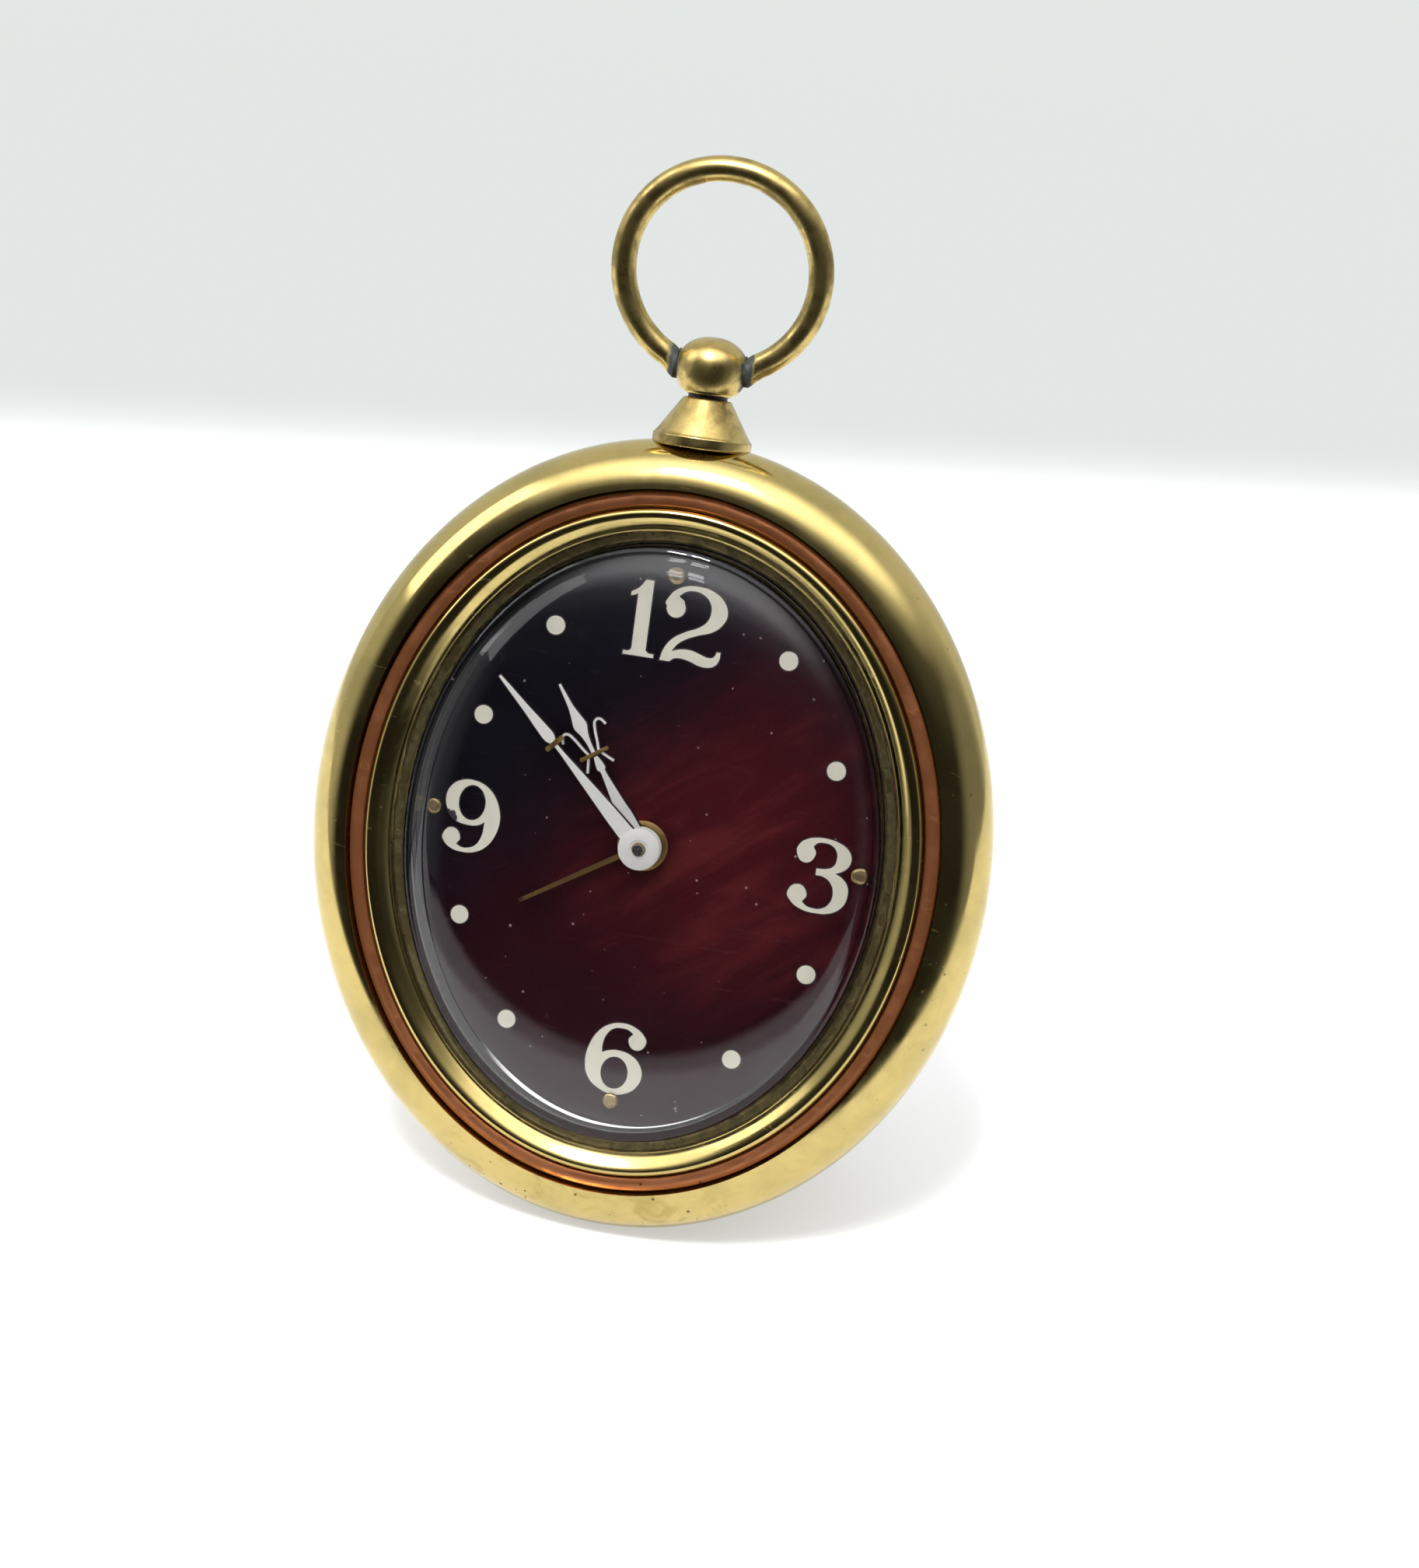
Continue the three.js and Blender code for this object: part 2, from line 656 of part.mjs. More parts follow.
function hingeRod(radius, x0, x1) {
  return rod(radius, x0, x1).rotateY(Math.PI / 2).translate(0, HINGE_Y, HINGE_Z);
}

function strutLeg() {
  const foot = LEG_FOOT_WIDTH / 2;
  const head = LEG_HEAD_WIDTH / 2;
  const side = solid(across(shapeOf(legProfile()), -foot, foot));
  const lowest = fromTable(0, 0)[0];
  const [top, waist, knee] = [HINGE_Y + 1, HINGE_Y - LEG_NECK, lowest + LEG_FOOT_RISE];
  const outline = slab(shapeOf([[-head, waist], [-head, top], [head, top], [head, waist], [foot, knee],
    [foot, lowest - 1], [-foot, lowest - 1], [-foot, knee]]), HINGE_Z - 40, HINGE_Z + 5);
  const body = side.intersect(solid(outline)).add(solid(hingeRod(KNUCKLE, -head, head)));
  return skin(body.subtract(solid(hingeRod(HINGE_PIN + GAP, -head - 1, head + 1))));
}

function strutBracket() {
  const inner = LEG_HEAD_WIDTH / 2 + GAP;
  const outer = inner + EAR_THICK;
  const seat = CONTROL_FRONT;
  const [low, high] = [HINGE_Y - BRACKET_HALF, HINGE_Y + BRACKET_HALF];
  const base = block(-outer, outer, low, high, seat - BRACKET_THICK, seat);
  const root = seat - BRACKET_THICK / 2;
  const ear = () => shapeOf([[low, root], ...arc(HINGE_Y, HINGE_Z, EAR_RADIUS, 200, 340, 6), [high, root]]);
  const ears = [across(ear(), -outer, -inner), across(ear(), inner, outer)];
  return carve(base, { add: ears, cut: [hingeRod(HINGE_PIN + GAP, -outer - 1, outer + 1)] });
}

function hingePin() {
  const end = LEG_HEAD_WIDTH / 2 + GAP + EAR_THICK + 0.4;
  return hingeRod(HINGE_PIN, -end, end);
}

// Dial and its studs

function dial() {
  const studs = STUD_PLACES.map(([, x, y]) => rod(STUD_SHANK + GAP, -2, 1, x, y, 8));
  const centre = rod(ALARM_TUBE + GAP, -2, 1, 0, 0, 16);
  return carve(ovalPlate(BEZEL_BORE - GAP, -DIAL_THICK, 0), { cut: [centre, ...studs] });
}

function dialStud() {
  const top = GAP + STUD_HEAD_THICK;
  return turned([
    [0, -DIAL_THICK - 0.6], [STUD_SHANK, -DIAL_THICK - 0.6], [STUD_SHANK, GAP], [STUD_HEAD, GAP],
    [STUD_HEAD - 0.1, top], [0, top],
  ], 8);
}

// Tubes on the centre line, each turning round the one inside it

const CANNON_BORE = PIN_RADIUS + RUNNING_GAP;
const CANNON_TUBE = CANNON_BORE + 0.3;
const HOUR_BORE = CANNON_TUBE + RUNNING_GAP;
const HOUR_TUBE = HOUR_BORE + 0.35;
const ALARM_BORE = HOUR_TUBE + RUNNING_GAP;
const ALARM_TUBE = ALARM_BORE + 0.35;

// A hand outline from [distance, half-width] pairs, along y
function blade(stations, z) {
  const right = stations.map(([u, w]) => [w, u]);
  const left = stations.map(([u, w]) => [-w, u]).reverse();
  return slab(shapeOf([...right, ...left]), z, z + HAND_THICK);
}

// A thin bent strip through points [v, u] of the hand, of one width
function strip(points, width, z) {
  const side = (sign) => points.map((p, i) => {
    const a = points[Math.max(i - 1, 0)];
    const b = points[Math.min(i + 1, points.length - 1)];
    const length = Math.hypot(b[0] - a[0], b[1] - a[1]);
    const [nx, ny] = [-(b[1] - a[1]) / length, (b[0] - a[0]) / length];
    return [p[0] + sign * nx * width / 2, p[1] + sign * ny * width / 2];
  });
  return slab(shapeOf([...side(1), ...side(-1).reverse()]), z, z + HAND_THICK);
}

function hub(outer, bore, z0, z1) {
  return washer(outer, bore, z0, z1, 14);
}

function minuteHand() {
  const z = MINUTE_HAND_Z;
  const stations = [[1.2, 0.85], [4, 0.75], [6.5, 0.6], [9.5, 0.4], [12.5, 0.22], [13.5, 0.22],
    [14.3, 0.58], [15.5, 0.54], [18, 0.36], [MINUTE_LENGTH - 0.15, 0.18], [MINUTE_LENGTH, 0.05]];
  const [low, high] = [MINUTE_BAR - 0.28, MINUTE_BAR + 0.28];
  const bar = block(-1.05, 1.05, low, high, z - 0.05, z + HAND_THICK + 0.15);
  const bore = CANNON_TUBE + HUB_GAP;
  return carve(hub(HUB_RADIUS, bore, z - 0.25, z + HAND_THICK + 0.2), {
    add: [blade(stations, z), bar], cut: [rod(bore, z - 1, z + 1, 0, 0, 14)],
  });
}

function hourHand() {
  const z = HOUR_HAND_Z;
  const stations = [[1.2, 0.92], [3.4, 0.8], [4.8, 0.6], [6.5, 0.42], [8.6, 0.24], [8.75, 0.55],
    [9.1, 0.5], [10.1, 0.2], [11.6, 0.22], [12.6, 0.4], [13.6, 0.7], [14.6, 0.46], [15.6, 0.26],
    [HOUR_LENGTH - 0.15, 0.16], [HOUR_LENGTH, 0.05]];
  const petal = [[0.62, 10.4], [0.85, 11.4], [1.15, 12.5], [1.45, 13.25], [1.85, 13.45], [2.2, 13.2],
    [2.42, 12.6]];
  const tail = [[0.8, 10.4], [1.05, 9.7], [1.5, 8.95]];
  const mirrored = (points) => points.map(([v, u]) => [-v, u]);
  const bar = block(-1.6, 1.6, HOUR_BAR - 0.22, HOUR_BAR + 0.22, z - 0.05, z + HAND_THICK + 0.15);
  const bore = HOUR_TUBE + HUB_GAP;
  const curls = [petal, mirrored(petal), tail, mirrored(tail)].map((p) => strip(p, 0.38, z));
  return carve(hub(HUB_RADIUS, bore, z - 0.25, z + HAND_THICK + 0.1), {
    add: [blade(stations, z), bar, ...curls], cut: [rod(bore, z - 1, z + 1, 0, 0, 14)],
  });
}

function alarmHand() {
  const z = ALARM_HAND_Z;
  const stations = [[2.2, 0.3], [ALARM_LENGTH - 0.2, 0.22], [ALARM_LENGTH, 0.1]];
  const bore = ALARM_TUBE + HUB_GAP;
  return carve(hub(ALARM_HUB, bore, z - 0.2, z + HAND_THICK), {
    add: [blade(stations, z)], cut: [rod(bore, z - 1, z + 1, 0, 0, 14)],
  });
}

// Movement: a going train and an alarm train between two plates. Arbors stand along z at [x, y].

// A point a distance away in a direction, and how far a wheel's arbor stands from its pinion's
const away = ([x, y], degrees, distance) =>
  [x + distance * Math.cos(rad(degrees)), y + distance * Math.sin(rad(degrees))];
const spacing = (teeth, leaves, module) => (teeth + leaves) * module / 2;

const CENTRE = [0, 0];
const BARREL_AT = away(CENTRE, BARREL_DIR, spacing(BARREL_TEETH, CENTRE_LEAVES, BARREL_MODULE));
const THIRD_AT = away(CENTRE, THIRD_DIR, spacing(CENTRE_TEETH, PINION_LEAVES, TRAIN_MODULE));
const FOURTH_AT = away(THIRD_AT, FOURTH_DIR, spacing(THIRD_TEETH, PINION_LEAVES, TRAIN_MODULE));
const ESCAPE_AT = away(FOURTH_AT, ESCAPE_DIR, spacing(FOURTH_TEETH, PINION_LEAVES, FOURTH_MODULE));
const PALLET_AT = away(ESCAPE_AT, PALLET_DIR, PALLET_REACH);
const BALANCE_AT = away(PALLET_AT, BALANCE_DIR, BALANCE_REACH);
const MINUTE_AT = away(CENTRE, MINUTE_DIR, spacing(MINUTE_TEETH, CANNON_LEAVES, DIAL_MODULE));
const SET_AT = away(CENTRE, SET_DIR, spacing(ALARM_TEETH, ALARM_LEAVES, ALARM_MODULE));
const BELL_AT = away(BELL_KEY_AT, BELL_DIR, spacing(BELL_BARREL_TEETH, BELL_LEAVES, BELL_MODULE));
const HAMMER_AT = away(BELL_AT, HAMMER_DIR, HAMMER_REACH);
const COCK_FOOT = away(BALANCE_AT, COCK_DIR, BALANCE_HOLE + 2.2);

// A wheel with pointed clock teeth, the first tooth on the x axis
function toothedShape(teeth, module) {
  const pitch = teeth * module / 2;
  const step = 2 * Math.PI / teeth;
  const [tip, valley] = [pitch + 0.75 * module, pitch - 1.15 * module];
  const points = [];
  for (let i = 0; i < teeth; i++) {
    for (const [share, r] of [[-0.5, valley], [0, tip]]) {
      const a = (i + share) * step;
      points.push([r * Math.cos(a), r * Math.sin(a)]);
    }
  }
  return shapeOf(points);
}

// Module of a wheel whose tooth tips reach a radius
function tipModule(radius, teeth) {
  return radius / (teeth / 2 + 0.75);
}

function circleHole(shape, radius, x = 0, y = 0, steps = 8) {
  const path = arc(x, y, radius, 0, 360 - 360 / steps, steps - 1);
  shape.holes.push(new THREE.Path(path.map(([px, py]) => new THREE.Vector2(px, py))));
  return shape;
}

// Turn of the driven wheel that puts its valley against the driver's tooth
function meshTurn(driverTurn, driverTeeth, direction, drivenTeeth) {
  const toothShare = (rad(direction) - driverTurn) / (2 * Math.PI / driverTeeth);
  return rad(direction) + Math.PI - (0.5 - toothShare) * 2 * Math.PI / drivenTeeth;
}

const turnOf = (clockAngle) => -rad(clockAngle);
const CENTRE_TURN = turnOf(MINUTE_BEARING);
const THIRD_TURN = meshTurn(CENTRE_TURN, CENTRE_TEETH, THIRD_DIR, PINION_LEAVES);
const FOURTH_TURN = meshTurn(THIRD_TURN, THIRD_TEETH, FOURTH_DIR, PINION_LEAVES);
const ESCAPE_TURN = meshTurn(FOURTH_TURN, FOURTH_TEETH, ESCAPE_DIR, PINION_LEAVES);
const BARREL_TURN = meshTurn(CENTRE_TURN, CENTRE_LEAVES, BARREL_DIR, BARREL_TEETH);
const MINUTE_TURN = meshTurn(CENTRE_TURN, CANNON_LEAVES, MINUTE_DIR, MINUTE_TEETH);
const HOUR_TURN = meshTurn(MINUTE_TURN, MINUTE_LEAVES, MINUTE_DIR + 180, HOUR_TEETH);
const SET_TURN = meshTurn(turnOf(ALARM_BEARING), ALARM_TEETH, SET_DIR, ALARM_LEAVES);
const BELL_TURN = meshTurn(0, BELL_BARREL_TEETH, BELL_DIR, BELL_LEAVES);

function pinion(leaves, module, z0, z1) {
  return slab(toothedShape(leaves, module), z0, z1);
}

// A wheel and a pinion on one arbor that pivots in both plates
function trainWheel({ teeth, module, level, leaves, leafModule, pinionFrom, pinionTo }) {
  const wheel = toothedShape(teeth, module);
  return carve(slab(wheel, level, level + WHEEL_THICK), {
    add: [pinion(leaves, leafModule, pinionFrom, pinionTo),
      rod(ARBOR, REAR_PLATE_REAR, PLATE_TOP, 0, 0, 6)],
  });
}

function thirdWheel() {
  return trainWheel({
    teeth: THIRD_TEETH, module: TRAIN_MODULE, level: THIRD_WHEEL_Z, leaves: PINION_LEAVES,
    leafModule: TRAIN_MODULE, pinionFrom: CENTRE_WHEEL_Z - 0.3, pinionTo: CENTRE_WHEEL_Z + 0.8,
  });
}

function fourthWheel() {
  return trainWheel({
    teeth: FOURTH_TEETH, module: FOURTH_MODULE, level: FOURTH_WHEEL_Z, leaves: PINION_LEAVES,
    leafModule: TRAIN_MODULE, pinionFrom: THIRD_WHEEL_Z - 0.3, pinionTo: THIRD_WHEEL_Z + 0.8,
  });
}

function escapeWheel() {
  return trainWheel({
    teeth: ESCAPE_TEETH, module: tipModule(ESCAPE_RADIUS, ESCAPE_TEETH), level: ESCAPE_WHEEL_Z,
    leaves: PINION_LEAVES, leafModule: FOURTH_MODULE,
    pinionFrom: FOURTH_WHEEL_Z - 0.3, pinionTo: FOURTH_WHEEL_Z + 0.7,
  });
}

function bellEscapeWheel() {
  return trainWheel({
    teeth: BELL_TEETH, module: tipModule(BELL_RADIUS, BELL_TEETH), level: BELL_WHEEL_Z,
    leaves: BELL_LEAVES, leafModule: BELL_MODULE,
    pinionFrom: BARREL_Z - 0.2, pinionTo: BARREL_Z + 0.8,
  });
}

// Clearance holes for shafts [x, y, radius, steps] through a sheet between two levels
function holes(shafts, z0, z1) {
  return shafts.map(([x, y, radius, steps = 8]) => rod(radius + GAP, z0 - 1, z1 + 1, x, y, steps));
}

// Shafts that pass through both plates
function sharedShafts() {
  const pivots = [THIRD_AT, FOURTH_AT, ESCAPE_AT, PALLET_AT, BELL_AT, HAMMER_AT];
  return [
    ...pivots.map((place) => [...place, ARBOR, 6]),
    [...BARREL_AT, KEY_ARBOR], [...BELL_KEY_AT, KEY_ARBOR], [...SET_AT, SET_ARBOR],
  ];
}

function pillarPlate() {
  const ownShafts = [[...CENTRE, CANNON_TUBE], [...BALANCE_AT, ARBOR], [...MINUTE_AT, ARBOR]];
  return carve(ovalPlate(PLATE_EDGE, PLATE_REAR, PLATE_TOP), {
    cut: holes([...sharedShafts(), ...ownShafts], PLATE_REAR, PLATE_TOP),
  });
}

function rearPlate() {
  const screws = [...PILLARS, COCK_FOOT].map((place) => [...place, PILLAR_SCREW, 6]);
  const shafts = [...sharedShafts(), [...CENTRE, CENTRE_ARBOR], [...BALANCE_AT, BALANCE_HOLE - GAP, 16],
    [...STOP_AT, STOP_SHAFT], ...screws];
  return carve(ovalPlate(REAR_PLATE_RADIUS, REAR_PLATE_REAR, REAR_PLATE_TOP), {
    cut: holes(shafts, REAR_PLATE_REAR, REAR_PLATE_TOP),
  });
}

// A pillar with its screwed end through the rear plate and a nut-like head behind it
function pillar() {
  const [front, rear] = [PLATE_REAR - GAP, REAR_PLATE_TOP + GAP];
  const end = REAR_PLATE_REAR - GAP;
  const screw = rod(PILLAR_SCREW, end - 0.5, rear + 0.5, 0, 0, 6);
  const nut = rod(PILLAR_RADIUS - 0.1, end - 0.9, end, 0, 0, 6);
  return carve(rod(PILLAR_RADIUS, rear, front, 0, 0, 8), { add: [screw, nut] });
}

function centreArbor() {
  const knobEnd = CONTROL_FRONT - HAND_KNOB_DEPTH + KNOB_FACE + GAP;
  const pin = turned([[0, knobEnd], [CENTRE_ARBOR, knobEnd], [CENTRE_ARBOR, PLATE_REAR - 1.2],
    [PIN_RADIUS, PLATE_REAR - 1], [PIN_RADIUS, MINUTE_HAND_Z + 0.5], [0.62, MINUTE_HAND_Z + 0.55],
    [0.55, MINUTE_HAND_Z + 0.8], [0, MINUTE_HAND_Z + 0.85]], 8);
  const wheel = toothedShape(CENTRE_TEETH, TRAIN_MODULE);
  return carve(slab(wheel, CENTRE_WHEEL_Z, CENTRE_WHEEL_Z + WHEEL_THICK), {
    add: [pin, pinion(CENTRE_LEAVES, BARREL_MODULE, BARREL_Z - 0.2, BARREL_Z + 0.9)],
  });
}

function cannonPinion() {
  const bore = [rod(CANNON_BORE, PLATE_TOP - 3, 5, 0, 0, 10)];
  return carve(pinion(CANNON_LEAVES, DIAL_MODULE, CANNON_Z, CANNON_Z + 0.9), {
    add: [rod(CANNON_TUBE, CANNON_Z, MINUTE_HAND_Z + HAND_THICK, 0, 0, 10)], cut: bore,
  });
}

function minuteWheel() {
  return carve(slab(toothedShape(MINUTE_TEETH, DIAL_MODULE), CANNON_Z, CANNON_Z + WHEEL_THICK), {
    add: [pinion(MINUTE_LEAVES, HOUR_MODULE, CANNON_Z + WHEEL_THICK - 0.1, HOUR_WHEEL_Z + 0.6),
      rod(ARBOR, PLATE_REAR, HOUR_WHEEL_Z + 0.6, 0, 0, 8)],
  });
}

function hourWheel() {
  const wheel = circleHole(toothedShape(HOUR_TEETH, HOUR_MODULE), HOUR_BORE, 0, 0, 12);
  return carve(slab(wheel, HOUR_WHEEL_Z, HOUR_WHEEL_Z + WHEEL_THICK), {
    add: [washer(HOUR_TUBE, HOUR_BORE, HOUR_WHEEL_Z, HOUR_HAND_Z + HAND_THICK, 12)],
  });
}

function alarmWheel() {
  const wheel = circleHole(toothedShape(ALARM_TEETH, ALARM_MODULE), ALARM_BORE, 0, 0, 12);
  return carve(slab(wheel, ALARM_WHEEL_Z, ALARM_WHEEL_Z + WHEEL_THICK), {
    add: [washer(ALARM_TUBE, ALARM_BORE, ALARM_WHEEL_Z, ALARM_HAND_Z + HAND_THICK - 0.05, 12)],
  });
}

function openBarrel(teeth, module, wall) {
  const top = BARREL_Z + BARREL_HEIGHT;
  const bore = KEY_ARBOR + GAP;
  const inside = wall - BARREL_SHELL;
  const cup = turned([[bore, top], [wall, top], [wall, BARREL_Z], [inside, BARREL_Z],
    [inside, top - BARREL_SHELL], [bore, top - BARREL_SHELL], [bore, top]], 12);
  const ring = circleHole(toothedShape(teeth, module), wall - BARREL_SHELL / 2, 0, 0, 12);
  return carve(slab(ring, BARREL_Z, BARREL_Z + BARREL_SHELL), { add: [cup] });
}

// A flat spring: a thin strip wound from an inner to an outer radius
function spiral({ inner, outer, turns, thick, z0, z1, steps = 8 }) {
  const path = [];
  for (let i = 0; i <= turns * steps; i++) {
    const a = 2 * Math.PI * i / steps;
    const r = inner + (outer - inner) * i / (turns * steps);
    path.push(new THREE.Vector3(r * Math.cos(a), r * Math.sin(a), 0));
  }
  const rings = path.map((p) => {
    const out = p.clone().normalize().multiplyScalar(thick / 2);
    return [[1, z0], [1, z1], [-1, z1], [-1, z0]].map(([sign, z]) => {
      const corner = p.clone().addScaledVector(out, sign);
      corner.z = z;
      return corner;
    });
  });
  return loftRings(rings, { ringClosed: false, capped: true });
}

function mainspring(wall) {
  return spiral({
    inner: KEY_ARBOR + 0.8, outer: wall - 1.2, turns: SPRING_TURNS, thick: SPRING_THICK,
    z0: BARREL_Z + 0.3, z1: BARREL_Z + BARREL_HEIGHT - 0.9,
  });
}

// Pallet lever in its own frame: x points at the balance
function palletLever() {
  const level = ESCAPE_WHEEL_Z;
  const arms = [[[0, 0], [-0.5, 2.2], [-1.84, 2.76]], [[0, 0], [-0.2, -2.4], [-1.34, -3.04]]];
  const tines = [1, -1].map((sign) => [[3.2, 0], [3.7, 0.7 * sign], [4.1, 0.75 * sign]]);
  const fork = [[[0, 0], [3.6, 0]], ...tines];
  return carve(rod(ARBOR, REAR_PLATE_REAR, PLATE_TOP, 0, 0, 8), {
    add: [
      ...arms.map((points) => strip(points, 0.7, level + 0.1)),
      ...fork.map((points) => strip(points, 0.5, level + 0.1)),
    ],
  });
}

function balanceWheel() {
  const z = BALANCE_Z;
  const rim = washer(BALANCE_RADIUS, BALANCE_RADIUS - BALANCE_RIM, z, z + 0.8, 14);
  const reach = BALANCE_RADIUS - BALANCE_RIM / 2;
  const spokes = [0, 1, 2].map((i) => (
    block(0, reach, -0.25, 0.25, z + 0.2, z + 0.6).rotateZ(rad(120 * i))));
  return carve(rod(ARBOR, COCK_REAR, PLATE_TOP, 0, 0, 8), {
    add: [rim, ...spokes, rod(0.9, ESCAPE_WHEEL_Z, ESCAPE_WHEEL_Z + 0.4, 0, 0, 12),
      rod(0.9, z - 0.4, z + 1, 0, 0, 10)],
  });
}

function hairspring() {
  return spiral({
    inner: 1.3, outer: 3.4, turns: 2.5, thick: 0.15,
    z0: REAR_PLATE_REAR + 0.3, z1: REAR_PLATE_REAR + 0.7,
  });
}

// The cock bridges the balance hole from a foot on the rear plate
function balanceCock() {
  const arm = strip([BALANCE_AT, COCK_FOOT], COCK_ARM, 0).scale(1, 1, COCK_THICK / HAND_THICK)
    .translate(0, 0, COCK_REAR);
  return carve(arm, {
    add: [BALANCE_AT, COCK_FOOT].map((place) => rod(COCK_HEAD, COCK_REAR, COCK_FRONT, ...place)),
    cut: holes([[...BALANCE_AT, ARBOR], [...COCK_FOOT, PILLAR_SCREW]], COCK_REAR, COCK_FRONT),
  });
}

function cockScrew() {
  const head = COCK_REAR - GAP;
  const tip = REAR_PLATE_REAR + 0.2;
  return turned([[0, head - 0.6], [1.1, head - 0.6], [1.1, head], [PILLAR_SCREW, head],
    [PILLAR_SCREW, tip], [0, tip]], 10);
}

// Regulator on the cock, its finger out through a slot in the back cover
function regulatorLever() {
  const front = COCK_REAR - GAP;
  const rear = front - REGULATOR_THICK;
  const arm = block(1.1, REGULATOR_ARM + 0.4, -0.4, 0.4, rear, front);
  const finger = rod(REGULATOR_PIN, COVER_REAR - 1.3, front - 0.1, REGULATOR_ARM, 0, 8);
  return carve(washer(1.5, ARBOR + GAP, rear, front, 12), { add: [arm, finger] });
}

function arcSlot(cx, cy, radius, half, from, to, z0, z1) {
  const outer = arc(cx, cy, radius + half, from, to, 8);
  const inner = arc(cx, cy, radius - half, to, from, 8);
  return slab(shapeOf([...outer, ...inner]), z0, z1);
}

// Winding key: an arbor with a hub, and two ears that carry the folding wing
function keyHub() {
  const body = turned([[0, KEY_REAR], [KEY_HUB - 0.2, KEY_REAR], [KEY_HUB, KEY_REAR + 0.3],
    [KEY_HUB, CONTROL_FRONT], [KEY_ARBOR, CONTROL_FRONT], [KEY_ARBOR, PLATE_TOP], [0, PLATE_TOP]], 10);
  const ear = (x) => across(shapeOf([[-0.9, KEY_REAR + 0.3], ...arc(0, WING_Z, 0.9, 180, 360, 4),
    [0.9, KEY_REAR + 0.3]]), x, x + EAR_WIDTH);
  return carve(body, {
    add: [ear(EAR_OFFSET), ear(-EAR_OFFSET - EAR_WIDTH)],
    cut: [rod(WING_PIN + 0.2, -4, 4, 0, 0, 8).rotateY(Math.PI / 2).translate(0, 0, WING_Z)],
  });
}

// Round wing with a finger hole, in its own frame: hinge along x, folded flat towards y
function keyWing() {
  const half = WING_THICK / 2;
  const tongue = EAR_OFFSET - GAP;
  const middle = WING_RADIUS - 0.2;
  const shoulder = [middle, middle - 1.6];
  const lobe = arc(0, middle, WING_RADIUS, -8, 188, 12);
  const outline = shapeOf([[-tongue, 0], [tongue, 0], [tongue, 1.4], shoulder, ...lobe,
    [-shoulder[0], shoulder[1]], [-tongue, 1.4]]);
  circleHole(outline, WING_HOLE, 0, middle + 0.7, 12);
  const pin = rod(WING_PIN, -EAR_OFFSET - EAR_WIDTH, EAR_OFFSET + EAR_WIDTH, 0, 0, 8);
  return carve(slab(outline, -half, half), { add: [pin.rotateY(Math.PI / 2)] });
}

// A knob with a fluted rim, on the end of its arbor
function knob(radius, depth, bore, flutes) {
  const rear = CONTROL_FRONT - depth;
  const points = [];
  for (let i = 0; i < flutes * 2; i++) {
    points.push(away([0, 0], 180 * i / flutes, radius - FLUTE_DEPTH * (i % 2)));
  }
  return carve(slab(shapeOf(points), rear, CONTROL_FRONT), {
    cut: [rod(bore, rear + KNOB_FACE, CONTROL_FRONT + 1, 0, 0, 10)],
  });
}

function handSetKnob() {
  return knob(HAND_KNOB_RADIUS, HAND_KNOB_DEPTH, CENTRE_ARBOR + 0.2, HAND_KNOB_FLUTES);
}

function alarmSetKnob() {
  return knob(SET_KNOB_RADIUS, SET_KNOB_DEPTH, SET_ARBOR + 0.2, SET_KNOB_FLUTES);
}

function alarmSetArbor() {
  const end = CONTROL_FRONT - SET_KNOB_DEPTH + KNOB_FACE + GAP;
  return carve(pinion(ALARM_LEAVES, ALARM_MODULE, ALARM_WHEEL_Z - 0.1, ALARM_WHEEL_Z + 0.5), {
    add: [rod(SET_ARBOR, end, ALARM_WHEEL_Z + 0.5, 0, 0, 10)],
  });
}

function stopButton() {
  const front = CONTROL_FRONT - STOP_TRAVEL;
  const rear = front - STOP_HEAD_DEPTH;
  const collar = COVER_FRONT + GAP;
  const end = REAR_PLATE_TOP - 0.4;
  return turned([[0, rear], [STOP_HEAD - 0.5, rear], [STOP_HEAD, rear + 0.4], [STOP_HEAD, front],
    [STOP_SHAFT, front], [STOP_SHAFT, collar], [1.7, collar], [1.7, collar + 0.6],
    [STOP_SHAFT, collar + 0.6], [STOP_SHAFT, end], [0, end]], 10);
}

// Hammer on its arbor: x points at the bell wheel
function alarmHammer() {
  const z = BELL_WHEEL_Z;
  const head = [-5.5, -2.5];
  const prongs = [1, -1].map((sign) => [[0, 0], [0.9, 1.7 * sign], [1.5, 2.3 * sign]]);
  const arms = [...prongs, [[0, 0], head]].map((points) => strip(points, 0.6, z));
  return carve(rod(ARBOR, REAR_PLATE_REAR, PLATE_TOP, 0, 0, 8), {
    add: [...arms, rod(1.3, z - 0.5, z + 3.5, ...head)],
  });
}

function backCover() {
  const r = COVER_RADIUS;
  const plate = ovalSweep([[r, COVER_FRONT], [r, COVER_REAR + 0.4], [r - 0.5, COVER_REAR]], false);
  const shafts = [
    ...SCREW_ANGLES.map((angle) => [...screwPlace(angle), SCREW_SHANK]),
    [...BARREL_AT, KEY_ARBOR], [...BELL_KEY_AT, KEY_ARBOR], [...CENTRE, CENTRE_ARBOR],
    [...SET_AT, SET_ARBOR], [...STOP_AT, STOP_SHAFT],
  ];
  const margin = REGULATOR_SWING + 8;
  const slot = arcSlot(...BALANCE_AT, REGULATOR_ARM, REGULATOR_PIN + GAP,
    REGULATOR_DIR - margin, REGULATOR_DIR + margin, COVER_REAR - 1, COVER_FRONT + 1);
  return carve(plate, { cut: [...holes(shafts, COVER_REAR, COVER_FRONT), slot] });
}

// Assembly

const clock = new THREE.Group();

